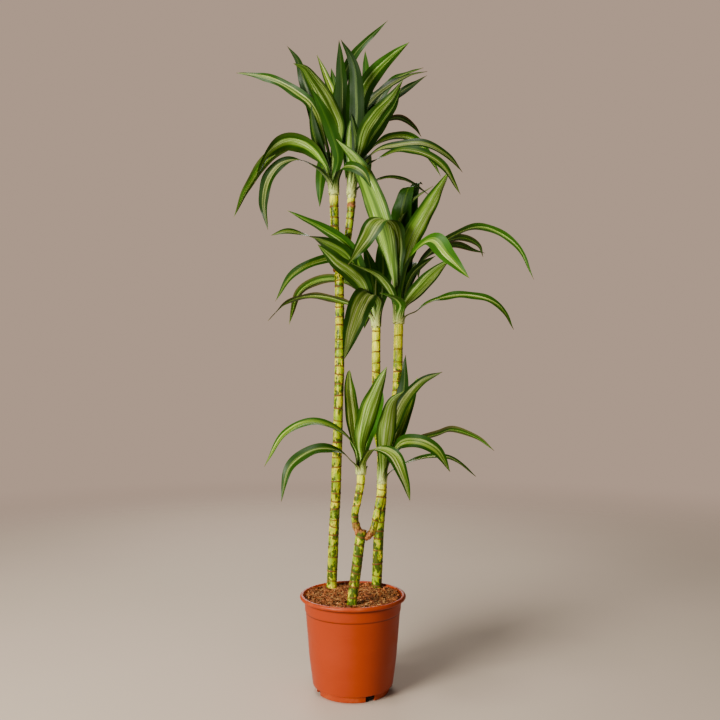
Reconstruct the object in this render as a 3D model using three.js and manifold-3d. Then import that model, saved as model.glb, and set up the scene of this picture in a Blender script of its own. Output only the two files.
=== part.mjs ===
// A potted corn plant: three woody canes stand in a round nursery pot of bark and coir.
// Each cane carries two leafy shoots, and each shoot ends in a head of long striped leaves.
// Millimetres, +Z up. The origin is the middle of the pot's underside, and -Y is the front.
import * as THREE from "three";
import { mergeVertices } from "three/addons/utils/BufferGeometryUtils.js";
import Module from "manifold-3d";

const wasm = await Module();
wasm.setup();

// ---------------------------------------------------------------- driving dimensions

const GAP = 0.3; // between a piece and the one that carries it
const HOLE_GAP = 0.345; // measured on the corners of a stem's hole

const POT = {
  segments: 40,
  floor: 3,
  notchWidth: 20,
  notchHeight: 12,
  notchDepth: 20,
  notchAngles: [-158, -69, 28, 115], // degrees from the front, towards +X
  // outside, from the foot to the rim: radius, height
  outside: [
    [71, 0],
    [72, 1.5],
    [72.5, 13],
    [79.2, 14],
    [80.3, 21],
    [86.5, 69],
    [93.6, 157],
    [95, 160.5],
    [96.2, 180.5],
    [102.5, 181.5],
    [105, 184],
    [105, 187.5],
    [102.5, 190],
  ],
  // inside, from the rim to the foot
  inside: [
    [98.5, 190],
    [95.6, 186],
    [93.6, 178],
    [91.2, 157],
    [84.1, 69],
    [77.9, 21],
    [75.4, 16.4],
    [69.9, 15.4],
    [69.6, 3],
  ],
};

const SOIL = {
  top: 184,
  segments: 24,
  rings: 4,
  bump: 2.4, // height of the uneven top
  edge: 1.2, // clear of the wall just under the rim
};

const RING = { spacing: 19, height: 2.2, relief: 0.8 }; // leaf scars round a cane
const CANE_SIDES = 8;
const BURIED = 95; // height of the stems' lower ends, inside the soil

// Each stem or shoot: radius at its lower and upper end, then the points of its middle line.
const CANES = {
  cane_tall: {
    stem: [10.4, 9, [-40, 56, BURIED], [-44, 62, 178], [-35, 60, 408], [-28, 60, 676], [-29, 60, 868]],
    shoots: [
      [8.6, 8.8, [-31, 62, 838], [-35, 67, 880], [-38, 71, 930], [-40, 72, 980], [-40, 72, 996]],
      [7, 7.8, [-26, 58, 838], [-17, 54, 872], [-9, 49, 920], [-4, 46, 970], [-4, 46, 985]],
    ],
  },
  cane_middle: {
    stem: [10.3, 10, [42, 55, BURIED], [48, 63, 178], [52, 63, 283], [58, 63, 366], [61, 63, 492]],
    shoots: [
      [8, 8.6, [59, 64, 462], [50, 68, 505], [47.5, 70, 600], [48, 70, 705], [48, 70, 722]],
      [8.8, 9.4, [63, 62, 462], [76, 57, 500], [88, 52, 570], [93, 50, 710], [93, 50, 728]],
    ],
  },
  cane_short: {
    stem: [8.8, 9.6, [-5, -58, BURIED], [-2, -62, 178], [8, -62, 262], [17, -62, 328]],
    shoots: [
      [6.4, 7.6, [14, -62, 318], [6, -63, 338], [4, -64, 356],
      [9, -65, 382], [16, -66, 420], [16, -66, 433]],
      [5.8, 8, [22, -61, 312], [36, -59, 322], [45, -57, 352], [55, -54, 400], [55, -54, 414]],
    ],
  },
};

// Each head: the middle of its crown, on the end of a shoot, and the radius there.
const HEADS = {
  head_tall_left: { crown: [-40, 72, 996], radius: 8.8 },
  head_tall_right: { crown: [-4, 46, 985], radius: 7.8 },
  head_middle_left: { crown: [48, 70, 722], radius: 8.6 },
  head_middle_right: { crown: [93, 50, 728], radius: 9.4 },
  head_short_left: { crown: [16, -66, 433], radius: 7.6 },
  head_short_right: { crown: [55, -54, 414], radius: 8 },
};

// The rolled young leaves in the middle of a head. Its shape is given as rows of the share of the
// crown's radius and the share of the height.
const SHEATH = {
  sides: 8,
  height: 105,
  shape: [
    [1.12, 0.2],
    [0.8, 0.5],
    [0.4, 0.85],
  ],
};
const BLADE = {
  thick: 1,
  step: 61, // length of one piece of a blade
  fewest: 4,
  fold: 9, // degrees that each half rises from the midrib
  baseFold: 42, // the same at the leaf's base
  foldReach: 0.3, // share of the length over which the base opens
  widest: 0.45, // where the blade is widest, as a share of its length
  baseWidth: 0.34, // width at the base, as a share of the widest
  tipWidth: 0.05,
  taper: 2.2, // the higher it is, the fuller the outer half
  rolled: 0.45, // share of the length over which a leaf rolls; it twists beyond
};

// Where a leaf's root lies: height over the crown, and reach as a share of the crown's radius.
const ROOT = { lowest: 6, highest: 62, reach: 0.55 };

// The leaves of each head. A row is a name, the widest width, the roll of the outer half and the
// further twist of the tip in degrees, then points that the midrib passes, from the crown's middle.
const LEAVES = {
  head_tall_left: [
    ["far left", 32, 50, 25,
      [-44, 12, 188], [-79, 24, 223], [-119, 34, 251], [-165, 40, 267], [-211, 45, 275]],
    ["grey left", 28, 30, 60,
      [-25, 20, 100], [-52, 38, 212], [-69, 58, 269], [-80, 68, 310], [-105, 78, 347]],
    ["striped left", 42, -35, 0,
      [4, -12, 138], [-7, -28, 164], [-22, -55, 188], [-39, -80, 208], [-55, -98, 226], [-76, -107, 233]],
    ["pale upright", 26, 10, 0, [5, 25, 125], [0, 45, 215], [-20, 60, 275], [-40, 70, 325]],
    ["back upright", 36, 0, 0, [5, 50, 130], [5, 80, 225], [-10, 105, 310]],
    ["olive upright", 34, -15, 0, [10, 0, 95], [15, 0, 180], [15, 5, 255], [10, 10, 330]],
    ["topmost", 24, -72, 0, [5, 22, 125], [8, 26, 220], [30, 28, 284], [46, 28, 312], [113, 30, 380]],
    ["low left arch", 38, -58, 30,
      [-24, -12, 68], [-54, -35, 92], [-90, -58, 95], [-126, -76, 68], [-153, -90, 6]],
    ["lowest left arch", 28, -35, 0,
      [-35, 10, 90], [-75, 25, 120], [-135, 35, 95], [-185, 40, 30], [-215, 40, -35]],
    ["front left arch", 32, 30, 0,
      [-30, -30, 47], [-66, -58, 59], [-103, -72, 48], [-127, -85, 12], [-135, -92, -32], [-126, -98, -89]],
    ["hanging back", 28, -15, 0, [-14, 45, 75], [-25, 80, 90], [-34, 110, 60], [-36, 120, 5]],
    ["front long", 28, -10, 0, [10, -35, 70], [-5, -65, 120], [-20, -95, 150], [-40, -120, 180]],
    ["front dark", 30, 0, 0, [-20, -8, 70], [-40, -22, 123], [-45, -32, 152], [-44, -42, 177]],
    ["small front", 28, -45, 0,
      [6, -22, 28], [18, -64, 41], [40, -98, 34], [62, -116, 15], [76, -126, -15]],
    ["back arch", 30, 0, 0, [-5, 45, 70], [-15, 110, 125], [-20, 165, 125], [-25, 200, 80]],
    ["inner dark", 38, 20, 0, [4, 5, 98], [12, 12, 167], [18, 18, 241]],
  ],
  head_tall_right: [
    ["front upright", 32, 0, 0, [5, -10, 95], [11, -30, 170], [5, -45, 255], [-20, -60, 300]],
    ["small upright", 34, 0, 0, [15, 20, 105], [32, 40, 205], [29, 50, 325]],
    ["broad upright", 40, 55, 0,
      [12, 0, 165], [26, -2, 220], [49, -7, 254], [77, -11, 282], [118, -15, 314]],
    ["back right", 28, -45, 0, [20, 30, 105], [55, 55, 220], [95, 75, 275], [155, 90, 305]],
    ["pale right", 30, -40, 0,
      [10, 10, 134], [22, 18, 184], [46, 24, 215], [72, 30, 238], [113, 36, 264], [159, 40, 277]],
    ["bright right", 32, 25, 0,
      [20, -25, 96], [30, -45, 126], [51, -75, 149], [77, -100, 169], [100, -115, 199]],
    ["dark right", 34, 30, 0, [20, -10, 85], [55, -15, 140], [85, -30, 180], [100, -40, 210]],
    ["dark back right", 30, -45, 0, [20, 50, 130], [60, 80, 212], [112, 100, 258], [165, 120, 300]],
    ["brown back", 26, 25, 0,
      [20, 45, 110], [60, 85, 180], [105, 115, 205], [140, 135, 190], [155, 140, 170]],
    ["first right arch", 28, 20, 0,
      [26, 12, 87], [60, 28, 126], [96, 42, 142], [131, 54, 139], [158, 64, 116], [191, 75, 66]],
    ["second right arch", 28, -50, 0,
      [26, -8, 73], [56, -20, 94], [98, -36, 99], [145, -48, 98], [189, -56, 73], [220, -60, 38]],
    ["third right arch", 30, -42, 0,
      [32, -20, 61], [64, -38, 76], [102, -58, 83], [146, -72, 70], [179, -82, 44], [212, -90, -13]],
    ["low right", 26, -30, 0, [42, -28, 27], [76, -36, 34], [102, -28, 33], [129, -18, 24], [161, -8, 4]],
    ["olive middle", 28, 0, 0, [-5, 14, 80], [-4, 28, 145], [-9, 38, 212]],
    ["narrow middle", 20, 0, 0, [10, -10, 75], [10, -20, 115], [0, -30, 165]],
    ["back arch", 30, 0, 0, [10, 45, 70], [25, 110, 120], [35, 165, 125], [40, 195, 85]],
    ["straight back", 30, 0, 0, [0, 40, 70], [-5, 100, 140], [-10, 165, 150], [-15, 215, 95]],
    ["lime inner", 20, 0, 0, [-2, -12, 92], [-2, -18, 131], [2, -20, 165]],
    ["inner dark", 38, -20, 0, [8, 4, 80], [5, 14, 182], [-1, 26, 282]],
  ],
  head_middle_left: [
    ["upper left", 34, -25, 0, [-15, -16, 55], [-55, -44, 158], [-110, -58, 196], [-178, -74, 228]],
    ["twisted left", 38, -35, 100,
      [-26, -15, 84], [-62, -40, 142], [-101, -62, 165],
      [-146, -82, 179], [-181, -94, 182], [-208, -102, 173]],
    ["front bright", 38, -45, 0,
      [-16, -20, 56], [-32, -45, 88], [-54, -72, 107],
      [-79, -95, 122], [-98, -110, 138], [-116, -120, 153]],
    ["high arch", 30, 42, 0,
      [-17, -10, 68], [-48, -32, 128], [-84, -52, 136], [-128, -66, 125], [-169, -76, 99], [-201, -82, 47]],
    ["back arch", 30, -30, 0,
      [-21, 8, 59], [-55, 20, 94], [-89, 32, 106], [-126, 42, 103], [-164, 48, 79], [-186, 50, 11]],
    ["low arch", 28, -22, 0,
      [-34, -20, 38], [-75, -35, 52], [-115, -50, 59], [-154, -62, 56], [-185, -72, 41], [-216, -80, 9]],
    ["big front", 48, 38, 0,
      [5, -20, 50], [-15, -50, 66], [-32, -90, 42], [-49, -115, -8], [-65, -125, -70]],
    ["dark back", 36, 0, 0, [-5, 15, 80], [-15, 30, 140], [-25, 40, 180]],
    ["upright back", 38, 0, 0, [10, 15, 60], [15, 35, 130], [10, 50, 200]],
    ["straight back", 32, 0, 0, [-5, 40, 60], [-12, 105, 120], [-18, 160, 120], [-20, 200, 75]],
    ["left back", 30, 0, 0, [-10, 35, 60], [-30, 95, 125], [-45, 150, 140], [-50, 190, 110]],
    ["small back", 16, 0, 0, [-8, 12, 25], [-17, 26, 24], [-25, 40, 2]],
  ],
  head_middle_right: [
    ["tallest", 50, -35, 0,
      [-14, -12, 110], [-27, -26, 169], [-57, -44, 259], [-86, -54, 318], [-126, -62, 361]],
    ["bent over", 48, 10, 45,
      [-4, -15, 126], [-6, -28, 172], [-19, -48, 200], [-44, -72, 197], [-67, -95, 158], [-101, -125, 104]],
    ["cream line", 28, 0, 0, [-10, -15, 50], [-35, -50, 85], [-65, -80, 100], [-95, -100, 110]],
    ["small front", 26, 0, 0, [5, -20, 30], [-5, -45, 45], [-20, -70, 50], [-40, -85, 55]],
    ["dark back left", 46, 0, 0, [4, 10, 103], [5, 18, 181], [11, 35, 253], [27, 70, 300], [38, 110, 299]],
    ["dark back right", 46, 0, 0,
      [13, 22, 105], [20, 42, 185], [27, 70, 257], [44, 108, 316], [61, 140, 324]],
    ["thin pale", 24, -20, 0, [0, 5, 90], [0, 20, 205], [27, 35, 258], [75, 40, 295]],
    ["big right", 44, 45, 0, [5, -5, 90], [25, -20, 170], [60, -30, 235], [100, -40, 305]],
    ["long right arch", 28, 22, 0,
      [10, 10, 60], [65, 30, 150], [170, 50, 210], [250, 55, 175], [290, 55, 100]],
    ["upper right arch", 28, 40, 0,
      [15, 25, 70], [70, 60, 160], [140, 90, 195], [180, 100, 180], [190, 105, 155]],
    ["lower right arch", 28, 40, 0,
      [15, 35, 60], [60, 85, 150], [130, 120, 185], [175, 135, 175], [200, 140, 170]],
    ["bent right", 46, -40, -25,
      [5, -20, 65], [25, -50, 135], [60, -75, 160], [90, -100, 125], [130, -110, 80]],
    ["short right", 30, 30, 0, [10, 5, 50], [30, 0, 105], [75, -5, 140]],
    ["striped right", 36, 35, 0, [10, -15, 35], [50, -35, 80], [75, -50, 105], [100, -60, 125]],
    ["low right arch", 28, -38, 0,
      [15, -5, 10], [65, -25, 45], [140, -40, 55], [195, -50, 35], [225, -60, -15]],
    ["straight back", 32, 0, 0, [5, 40, 60], [10, 110, 120], [15, 170, 120], [20, 210, 70]],
    ["right back", 30, 0, 0, [10, 35, 60], [35, 95, 125], [50, 150, 150], [55, 190, 120]],
  ],
  head_short_left: [
    ["high arch", 30, 25, 0,
      [-5, -10, 35], [-30, -20, 78], [-90, -25, 102], [-140, -30, 82], [-180, -35, 20]],
    ["low arch", 28, 35, 0,
      [-10, -15, 15], [-35, -30, 45], [-85, -45, 52], [-131, -55, 20], [-146, -60, -42]],
    ["upright left", 34, 10, 0, [-12, 10, 65], [-18, 5, 120], [-23, 0, 165], [-23, 6, 190], [-22, 20, 200]],
    ["front upright", 40, 15, 0, [0, -20, 55], [14, -40, 120], [30, -55, 165], [47, -65, 205]],
    ["dark back", 38, 0, 0, [12, 25, 65], [28, 45, 120], [36, 58, 155], [38, 66, 178]],
    ["front drooping", 32, -15, 0,
      [5, -30, 25], [22, -60, 54], [56, -90, 46], [76, -105, 5], [86, -115, -33]],
    ["straight back", 30, 0, 0, [-5, 30, 45], [-10, 75, 75], [-15, 90, 110]],
    ["back arch", 30, 0, 0, [0, 38, 50], [0, 95, 95], [2, 145, 100], [5, 185, 75]],
    ["stub", 12, 0, 0, [9, 2, 6], [18, 4, 16]],
  ],
  head_short_right: [
    ["broad front", 42, 0, 0, [5, -20, 55], [12, -45, 125], [20, -60, 160], [40, -70, 180]],
    ["striped right", 38, -45, 0, [15, 5, 55], [40, 10, 120], [55, 15, 160], [70, 10, 205]],
    ["far right", 36, -50, 0, [10, -5, 65], [45, -10, 160], [75, -15, 195], [115, -20, 215]],
    ["dark back", 32, 0, 0, [10, 25, 80], [42, 45, 165], [50, 60, 250]],
    ["high arch", 26, 35, 0,
      [15, 5, 45], [35, 15, 75], [80, 30, 87], [112, 35, 94], [140, 42, 102], [190, 50, 86], [225, 50, 60]],
    ["middle arch", 32, -50, 0,
      [10, -10, 30], [35, -30, 80], [65, -45, 85], [100, -55, 70], [125, -60, 30]],
    ["low arch", 26, -15, 0, [10, -5, 10], [25, -15, 30], [65, -30, 50], [125, -40, 55], [175, -45, 20]],
    ["straight back", 30, 0, 0, [5, 30, 50], [15, 70, 85], [25, 95, 120]],
    ["back arch", 28, 0, 0, [15, 28, 45], [50, 72, 80], [80, 112, 84], [98, 142, 60]],
  ],
};

const COLOURS = {
  pot: { color: 0xc9561f, roughness: 0.45, metalness: 0 },
  soil: { color: 0x5a3d26, roughness: 0.95, metalness: 0 },
  cane: { color: 0x9a9440, roughness: 0.6, metalness: 0 },
  leaf: { color: 0x4f8a2c, roughness: 0.5, metalness: 0 },
};

// ---------------------------------------------------------------- solids

// A closed triangle mesh as a solid, with doubled points merged.
function solidOf(geometry) {
  const bare = new THREE.BufferGeometry();
  bare.setAttribute("position", geometry.getAttribute("position"));
  bare.setIndex(geometry.index);
  const merged = mergeVertices(bare, 1e-4);
  const index = merged.index.array;
  const kept = [];
  for (let i = 0; i < index.length; i += 3) {
    const [a, b, c] = index.slice(i, i + 3);
    if (a !== b && b !== c && c !== a) kept.push(a, b, c);
  }
  return new wasm.Manifold(
    new wasm.Mesh({
      numProp: 3,
      vertProperties: merged.getAttribute("position").array,
      triVerts: new Uint32Array(kept),
    }),
  );
}

function geometryOf(solid) {
  const mesh = solid.getMesh();
  const places = new Float32Array(mesh.vertProperties);
  const geometry = new THREE.BufferGeometry();
  geometry.setAttribute("position", new THREE.BufferAttribute(places, 3));
  geometry.setIndex(new THREE.BufferAttribute(new Uint32Array(mesh.triVerts), 1));
  geometry.computeVertexNormals();
  return geometry;
}

// The join of several solids, without loose scraps and with sealed hollows filled.
function fuse(solids) {
  const joined = solids.reduce((sum, next) => sum.add(next));
  const bodies = joined.decompose().sort((a, b) => b.volume() - a.volume());
  return bodies[0];
}

function closedGeometry(points, faces) {
  const geometry = new THREE.BufferGeometry();
  const numbers = points.flatMap((p) => [p.x, p.y, p.z]);
  geometry.setAttribute("position", new THREE.Float32BufferAttribute(numbers, 3));
  geometry.setIndex(faces.flat());
  return geometry;
}

// A closed skin over rings of equally many points, with a fan over each end ring.
function loft(rings) {
  const count = rings[0].length;
  const points = rings.flat();
  const faces = [];
  for (let i = 0; i < rings.length - 1; i++) {
    for (let j = 0; j < count; j++) {
      const a = i * count + j;
      const b = i * count + ((j + 1) % count);
      faces.push([a, b, b + count], [a, b + count, a + count]);
    }
  }
  const last = (rings.length - 1) * count;
  for (let j = 1; j < count - 1; j++) {
    faces.push([0, j + 1, j]);
    faces.push([last, last + j, last + j + 1]);
  }
  return closedGeometry(points, faces);
}

// A profile of [radius, height] that starts and ends on the axis, turned round +Z.
function revolve(profile, segments) {
  const outline = profile.map(([r, z]) => new THREE.Vector2(r, z));
  return new THREE.LatheGeometry(outline, segments).rotateX(Math.PI / 2);
}

const radians = THREE.MathUtils.degToRad;
const smooth = (t) => THREE.MathUtils.smoothstep(t, 0, 1);

// ---------------------------------------------------------------- pot and soil

function drainNotch(angle) {
  const box = new THREE.BoxGeometry(POT.notchWidth, POT.notchDepth, 2 * POT.notchHeight);
  box.translate(0, -POT.outside[0][0], 0);
  return solidOf(box.rotateZ(radians(angle)));
}

function pot() {
  const profile = [[0, 0], ...POT.outside, ...POT.inside, [0, POT.floor]];
  const shell = solidOf(revolve(profile, POT.segments));
  return POT.notchAngles.reduce((solid, angle) => solid.subtract(drainNotch(angle)), shell);
}

// Height of the uneven soil at a place, flat at the pot's wall.
function soilHeight(x, y, edge) {
  const waves = Math.sin(x / 13 + 1.2) * Math.cos(y / 17 - 0.6) + 0.5 * Math.sin((x + 2 * y) / 15);
  return SOIL.top + SOIL.bump * waves * (1 - edge ** 4);
}

function soil() {
  const [brim] = POT.inside[1];
  const below = POT.inside.slice(2).reverse();
  const wall = below.map(([r, z]) => [r - GAP, Math.max(z, POT.floor + GAP)]);
  wall.push([brim - SOIL.edge, SOIL.top]);
  const rings = [];
  const ringAt = (radius, height) =>
    Array.from({ length: SOIL.segments }, (_, j) => {
      const turn = (2 * Math.PI * j) / SOIL.segments;
      const x = radius * Math.cos(turn);
      const y = radius * Math.sin(turn);
      return new THREE.Vector3(x, y, height(x, y));
    });
  for (const [r, z] of wall) rings.push(ringAt(r, () => z));
  const edge = wall.at(-1)[0];
  for (let i = SOIL.rings - 1; i > 0; i--) {
    const share = i / SOIL.rings;
    rings.push(ringAt(edge * share, (x, y) => soilHeight(x, y, share)));
  }
  const ground = solidOf(loft(rings));
  return Object.values(CANES).reduce((solid, { stem }) => solid.subtract(stemHole(stem)), ground);
}

// A plain hole in the soil that follows the stem standing in it, from just under its end.
function stemHole([low, high, ...route]) {
  const path = stemPath(route);
  const rows = plainPlaces(path).map((t) => {
    const radius = THREE.MathUtils.lerp(low, high, t) + HOLE_GAP;
    return circle(path.getPointAt(t), path.getTangentAt(t), radius, CANE_SIDES);
  });
  rows[0].forEach((point) => point.addScaledVector(path.getTangentAt(0), -GAP));
  return solidOf(loft(rows));
}

// ---------------------------------------------------------------- canes

// Points of a circle round a place, square to a direction that is never level along +X.
function circle(centre, direction, radius, sides) {
  const along = direction.clone().normalize();
  const right = new THREE.Vector3(1, 0, 0).addScaledVector(along, -along.x).normalize();
  const back = new THREE.Vector3().crossVectors(along, right);
  return Array.from({ length: sides }, (_, j) => {
    const turn = (2 * Math.PI * j) / sides;
    return centre
      .clone()
      .addScaledVector(right, radius * Math.cos(turn))
      .addScaledVector(back, radius * Math.sin(turn));
  });
}

function stemPath(route) {
  return new THREE.CatmullRomCurve3(route.map((p) => new THREE.Vector3(...p)));
}

// Shares of a stem's length, one leaf scar apart, where it is plain: in the soil and just above.
function plainPlaces(path) {
  const count = Math.floor(path.getLength() / RING.spacing);
  const places = Array.from({ length: count }, (_, i) => (i * RING.spacing) / path.getLength());
  return places.filter((t) => path.getPointAt(t).z < SOIL.top + RING.spacing + SOIL.bump);
}

// A woody stem with a raised ring for each leaf scar above the soil.
function stem([low, high, ...route]) {
  const path = stemPath(route);
  const length = path.getLength();
  const rows = [];
  const addRow = (t, extra) => {
    const radius = THREE.MathUtils.lerp(low, high, t) + extra;
    rows.push(circle(path.getPointAt(t), path.getTangentAt(t), radius, CANE_SIDES));
  };
  const plain = plainPlaces(path);
  if (!plain.length) plain.push(0); // a shoot starts well above the soil
  plain.forEach((t) => addRow(t, 0));
  const last = Math.floor(length / RING.spacing) - 1;
  for (let i = plain.length; i <= last; i++) {
    addRow((i * RING.spacing) / length, RING.relief);
    addRow((i * RING.spacing + RING.height) / length, 0);
  }
  addRow(1, 0);
  return solidOf(loft(rows));
}

function cane({ stem: main, shoots }) {
  return fuse([stem(main), ...shoots.map(stem)]);
}

// ---------------------------------------------------------------- leaf heads

// Half of a blade's width along its length, as a share of its widest.
function halfWidth(t) {
  const { widest, baseWidth, tipWidth } = BLADE;
  if (t < widest) return 0.5 * (baseWidth + (1 - baseWidth) * smooth(t / widest));
  const out = (t - widest) / (1 - widest);
  return 0.5 * Math.max(1 - out ** BLADE.taper, tipWidth);
}

// The steep channel at a leaf's base opens towards its middle.
function foldAngle(t) {
  const base = Math.max(1 - t / BLADE.foldReach, 0) ** 2;
  return radians(BLADE.fold + (BLADE.baseFold - BLADE.fold) * base);
}

// The curve of a midrib from its root inside the crown, and the way it heads seen from above.
function midrib(points, head) {
  const route = points.map((p) => new THREE.Vector3(...p));
  const tip = route.at(-1);
  const heading = Math.atan2(tip.y, tip.x);
  const rise = THREE.MathUtils.clamp(0.5 * route[0].z, ROOT.lowest, ROOT.highest);
  const reach = ROOT.reach * head.radius;
  const root = new THREE.Vector3(reach * Math.cos(heading), reach * Math.sin(heading), rise);
  return { path: new THREE.CatmullRomCurve3([root, ...route], false, "centripetal"), heading };
}

// How far a blade has turned about its midrib.
function turnAt(t, roll, twist) {
  const { rolled } = BLADE;
  return radians(roll) * smooth(t / rolled) + radians(twist) * smooth((t - rolled) / (1 - rolled));
}

function leaf([, width, roll, twist, ...points], head) {
  const { path, heading } = midrib(points, head);
  const level = new THREE.Vector3(-Math.sin(heading), Math.cos(heading), 0);
  const steps = Math.max(BLADE.fewest, Math.round(path.getLength() / BLADE.step));
  const top = [];
  const bottom = [];
  for (let i = 0; i <= steps; i++) {
    const t = i / steps;
    const along = path.getTangentAt(t);
    const side = level.clone().addScaledVector(along, -level.dot(along)).normalize();
    side.applyAxisAngle(along, -turnAt(t, roll, twist));
    const up = new THREE.Vector3().crossVectors(along, side);
    const half = width * halfWidth(t);
    const fold = foldAngle(t);
    for (const across of [-1, 0, 1]) {
      const point = path
        .getPointAt(t)
        .addScaledVector(side, across * half * Math.cos(fold))
        .addScaledVector(up, Math.abs(across) * half * Math.sin(fold));
      top.push(point);
      bottom.push(point.clone().addScaledVector(up, -BLADE.thick));
    }
  }
  return solidOf(blade(top, bottom, steps));
}

// A thin closed sheet three points wide, split into triangles alike on both faces.
function blade(top, bottom, steps) {
  const under = top.length;
  const faces = [];
  const sheet = (a, b, c) => faces.push([a, b, c], [a + under, c + under, b + under]);
  const rim = (a, b) => faces.push([a, a + under, b + under], [a, b + under, b]);
  for (let i = 0; i < steps; i++) {
    for (const a of [3 * i, 3 * i + 1]) {
      sheet(a, a + 3, a + 4);
      sheet(a, a + 4, a + 1);
    }
    rim(3 * i, 3 * i + 3);
    rim(3 * i + 5, 3 * i + 2);
  }
  const last = 3 * steps;
  rim(1, 0);
  rim(2, 1);
  rim(last, last + 1);
  rim(last + 1, last + 2);
  return closedGeometry([...top, ...bottom], faces);
}

// The rolled core of a head, seated on the end of its shoot.
function sheath(head) {
  const shape = SHEATH.shape.map(([r, z]) => [r * head.radius, z * SHEATH.height]);
  const profile = [[0, GAP], [head.radius, GAP], ...shape, [0, SHEATH.height]];
  return solidOf(revolve(profile, SHEATH.sides));
}

function leafHead(name) {
  const head = HEADS[name];
  return fuse([sheath(head), ...LEAVES[name].map((row) => leaf(row, head))]);
}

// ---------------------------------------------------------------- assembly

const plant = new THREE.Group();

function addNode(name, solid, finish, position = [0, 0, 0]) {
  const mesh = new THREE.Mesh(geometryOf(solid), new THREE.MeshStandardMaterial(finish));
  mesh.name = name;
  mesh.position.set(...position);
  plant.add(mesh);
}

addNode("pot", pot(), COLOURS.pot);
addNode("soil", soil(), COLOURS.soil);
for (const [name, shape] of Object.entries(CANES)) addNode(name, cane(shape), COLOURS.cane);
for (const [name, head] of Object.entries(HEADS)) addNode(name, leafHead(name), COLOURS.leaf, head.crown);

export default plant;
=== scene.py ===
"""A potted corn plant: three ringed canes in a terracotta-coloured nursery pot, with six heads of
striped leaves. Lengths in the tables are in millimetres, and the scene is in metres."""
import math
import random

import bpy
import numpy as np
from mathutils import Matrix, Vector


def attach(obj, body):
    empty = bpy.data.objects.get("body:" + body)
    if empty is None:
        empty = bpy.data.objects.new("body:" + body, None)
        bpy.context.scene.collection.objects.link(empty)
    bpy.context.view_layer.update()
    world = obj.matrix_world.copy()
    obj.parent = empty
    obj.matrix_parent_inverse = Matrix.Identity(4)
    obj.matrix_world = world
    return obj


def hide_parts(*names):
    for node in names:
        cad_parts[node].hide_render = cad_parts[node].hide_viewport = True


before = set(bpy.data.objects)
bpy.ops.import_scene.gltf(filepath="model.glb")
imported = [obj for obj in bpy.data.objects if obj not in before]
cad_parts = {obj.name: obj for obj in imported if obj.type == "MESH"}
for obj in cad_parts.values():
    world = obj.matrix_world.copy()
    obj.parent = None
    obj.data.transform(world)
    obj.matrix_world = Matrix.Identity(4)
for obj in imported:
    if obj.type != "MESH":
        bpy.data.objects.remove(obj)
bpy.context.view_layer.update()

MM = 0.001

# ------------------------------------------------------------------ the plant's shape

POT_OUTSIDE = [
    (71, 0), (72, 1.5), (72.5, 13), (79.2, 14), (80.3, 21), (86.5, 69), (93.6, 157), (95, 160.5),
    (96.2, 180.5), (102.5, 181.5), (105, 184), (105, 187.5), (102.5, 190),
]
POT_INSIDE = [
    (98.5, 190), (95.6, 186), (93.6, 178), (91.2, 157), (84.1, 69), (77.9, 21), (75.4, 16.4),
    (69.9, 15.4), (69.6, 3),
]
POT_FLOOR = 3
POT_CREASE = 157.4  # height of the groove round the pot, under its collar
LIP_FOOT = 182.4  # height at which the lip stands out over the collar
NOTCH = {"width": 20, "height": 12, "depth": 20, "angles": (-158, -69, 28, 115)}

SOIL_TOP = 184
SOIL_EDGE = 94.4
SOIL_SIDE = [(69.3, 3.3), (69.6, 15.7), (75.1, 16.7), (77.6, 21.3), (83.8, 69), (90.9, 157),
             (93.3, 178)]
CHIPS = {"count": 2600, "reach": 92, "sizes": (0.7, 0.9, 1.2, 1.6, 2.3), "lean": 0.45}
FIBRES = {"count": 800, "reach": 84, "steps": 6, "uneven": 90, "farthest": 91}
CLEAR_OF_CANE = 11  # mm from a stem's middle to the middle of the nearest loose bit

SCAR_SPACING = 19
BURIED = 95  # height of the stems' lower ends, inside the soil

CANES = {
    "cane_tall": {
        "stem": (10.4, 9, (-40, 56, BURIED), (-44, 62, 178), (-35, 60, 408), (-28, 60, 676),
                 (-29, 60, 868)),
        "shoots": [
            (8.6, 8.8, (-31, 62, 838), (-35, 67, 880), (-38, 71, 930), (-40, 72, 980),
             (-40, 72, 996)),
            (7, 7.8, (-26, 58, 838), (-17, 54, 872), (-9, 49, 920), (-4, 46, 970),
             (-4, 46, 985)),
        ],
    },
    "cane_middle": {
        "stem": (10.3, 10, (42, 55, BURIED), (48, 63, 178), (52, 63, 283), (58, 63, 366),
                 (61, 63, 492)),
        "shoots": [
            (8, 8.6, (59, 64, 462), (50, 68, 505), (47.5, 70, 600), (48, 70, 705), (48, 70, 722)),
            (8.8, 9.4, (63, 62, 462), (76, 57, 500), (88, 52, 570), (93, 50, 710), (93, 50, 728)),
        ],
    },
    "cane_short": {
        "stem": (8.8, 9.6, (-5, -58, BURIED), (-2, -62, 178), (8, -62, 262), (17, -62, 328)),
        "shoots": [
            (6.4, 7.6, (14, -62, 318), (6, -63, 338), (4, -64, 356), (9, -65, 382),
             (16, -66, 420), (16, -66, 433)),
            (5.8, 8, (22, -61, 312), (36, -59, 322), (45, -57, 352), (55, -54, 400),
             (55, -54, 414)),
        ],
    },
}

# A head sits on the upper end of each shoot: where that is, and its radius there.
HEADS = {
    cane.replace("cane", "head") + "_" + side: (shoot[-1], shoot[1])
    for cane, shape in CANES.items()
    for side, shoot in zip(("left", "right"), shape["shoots"])
}

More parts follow.
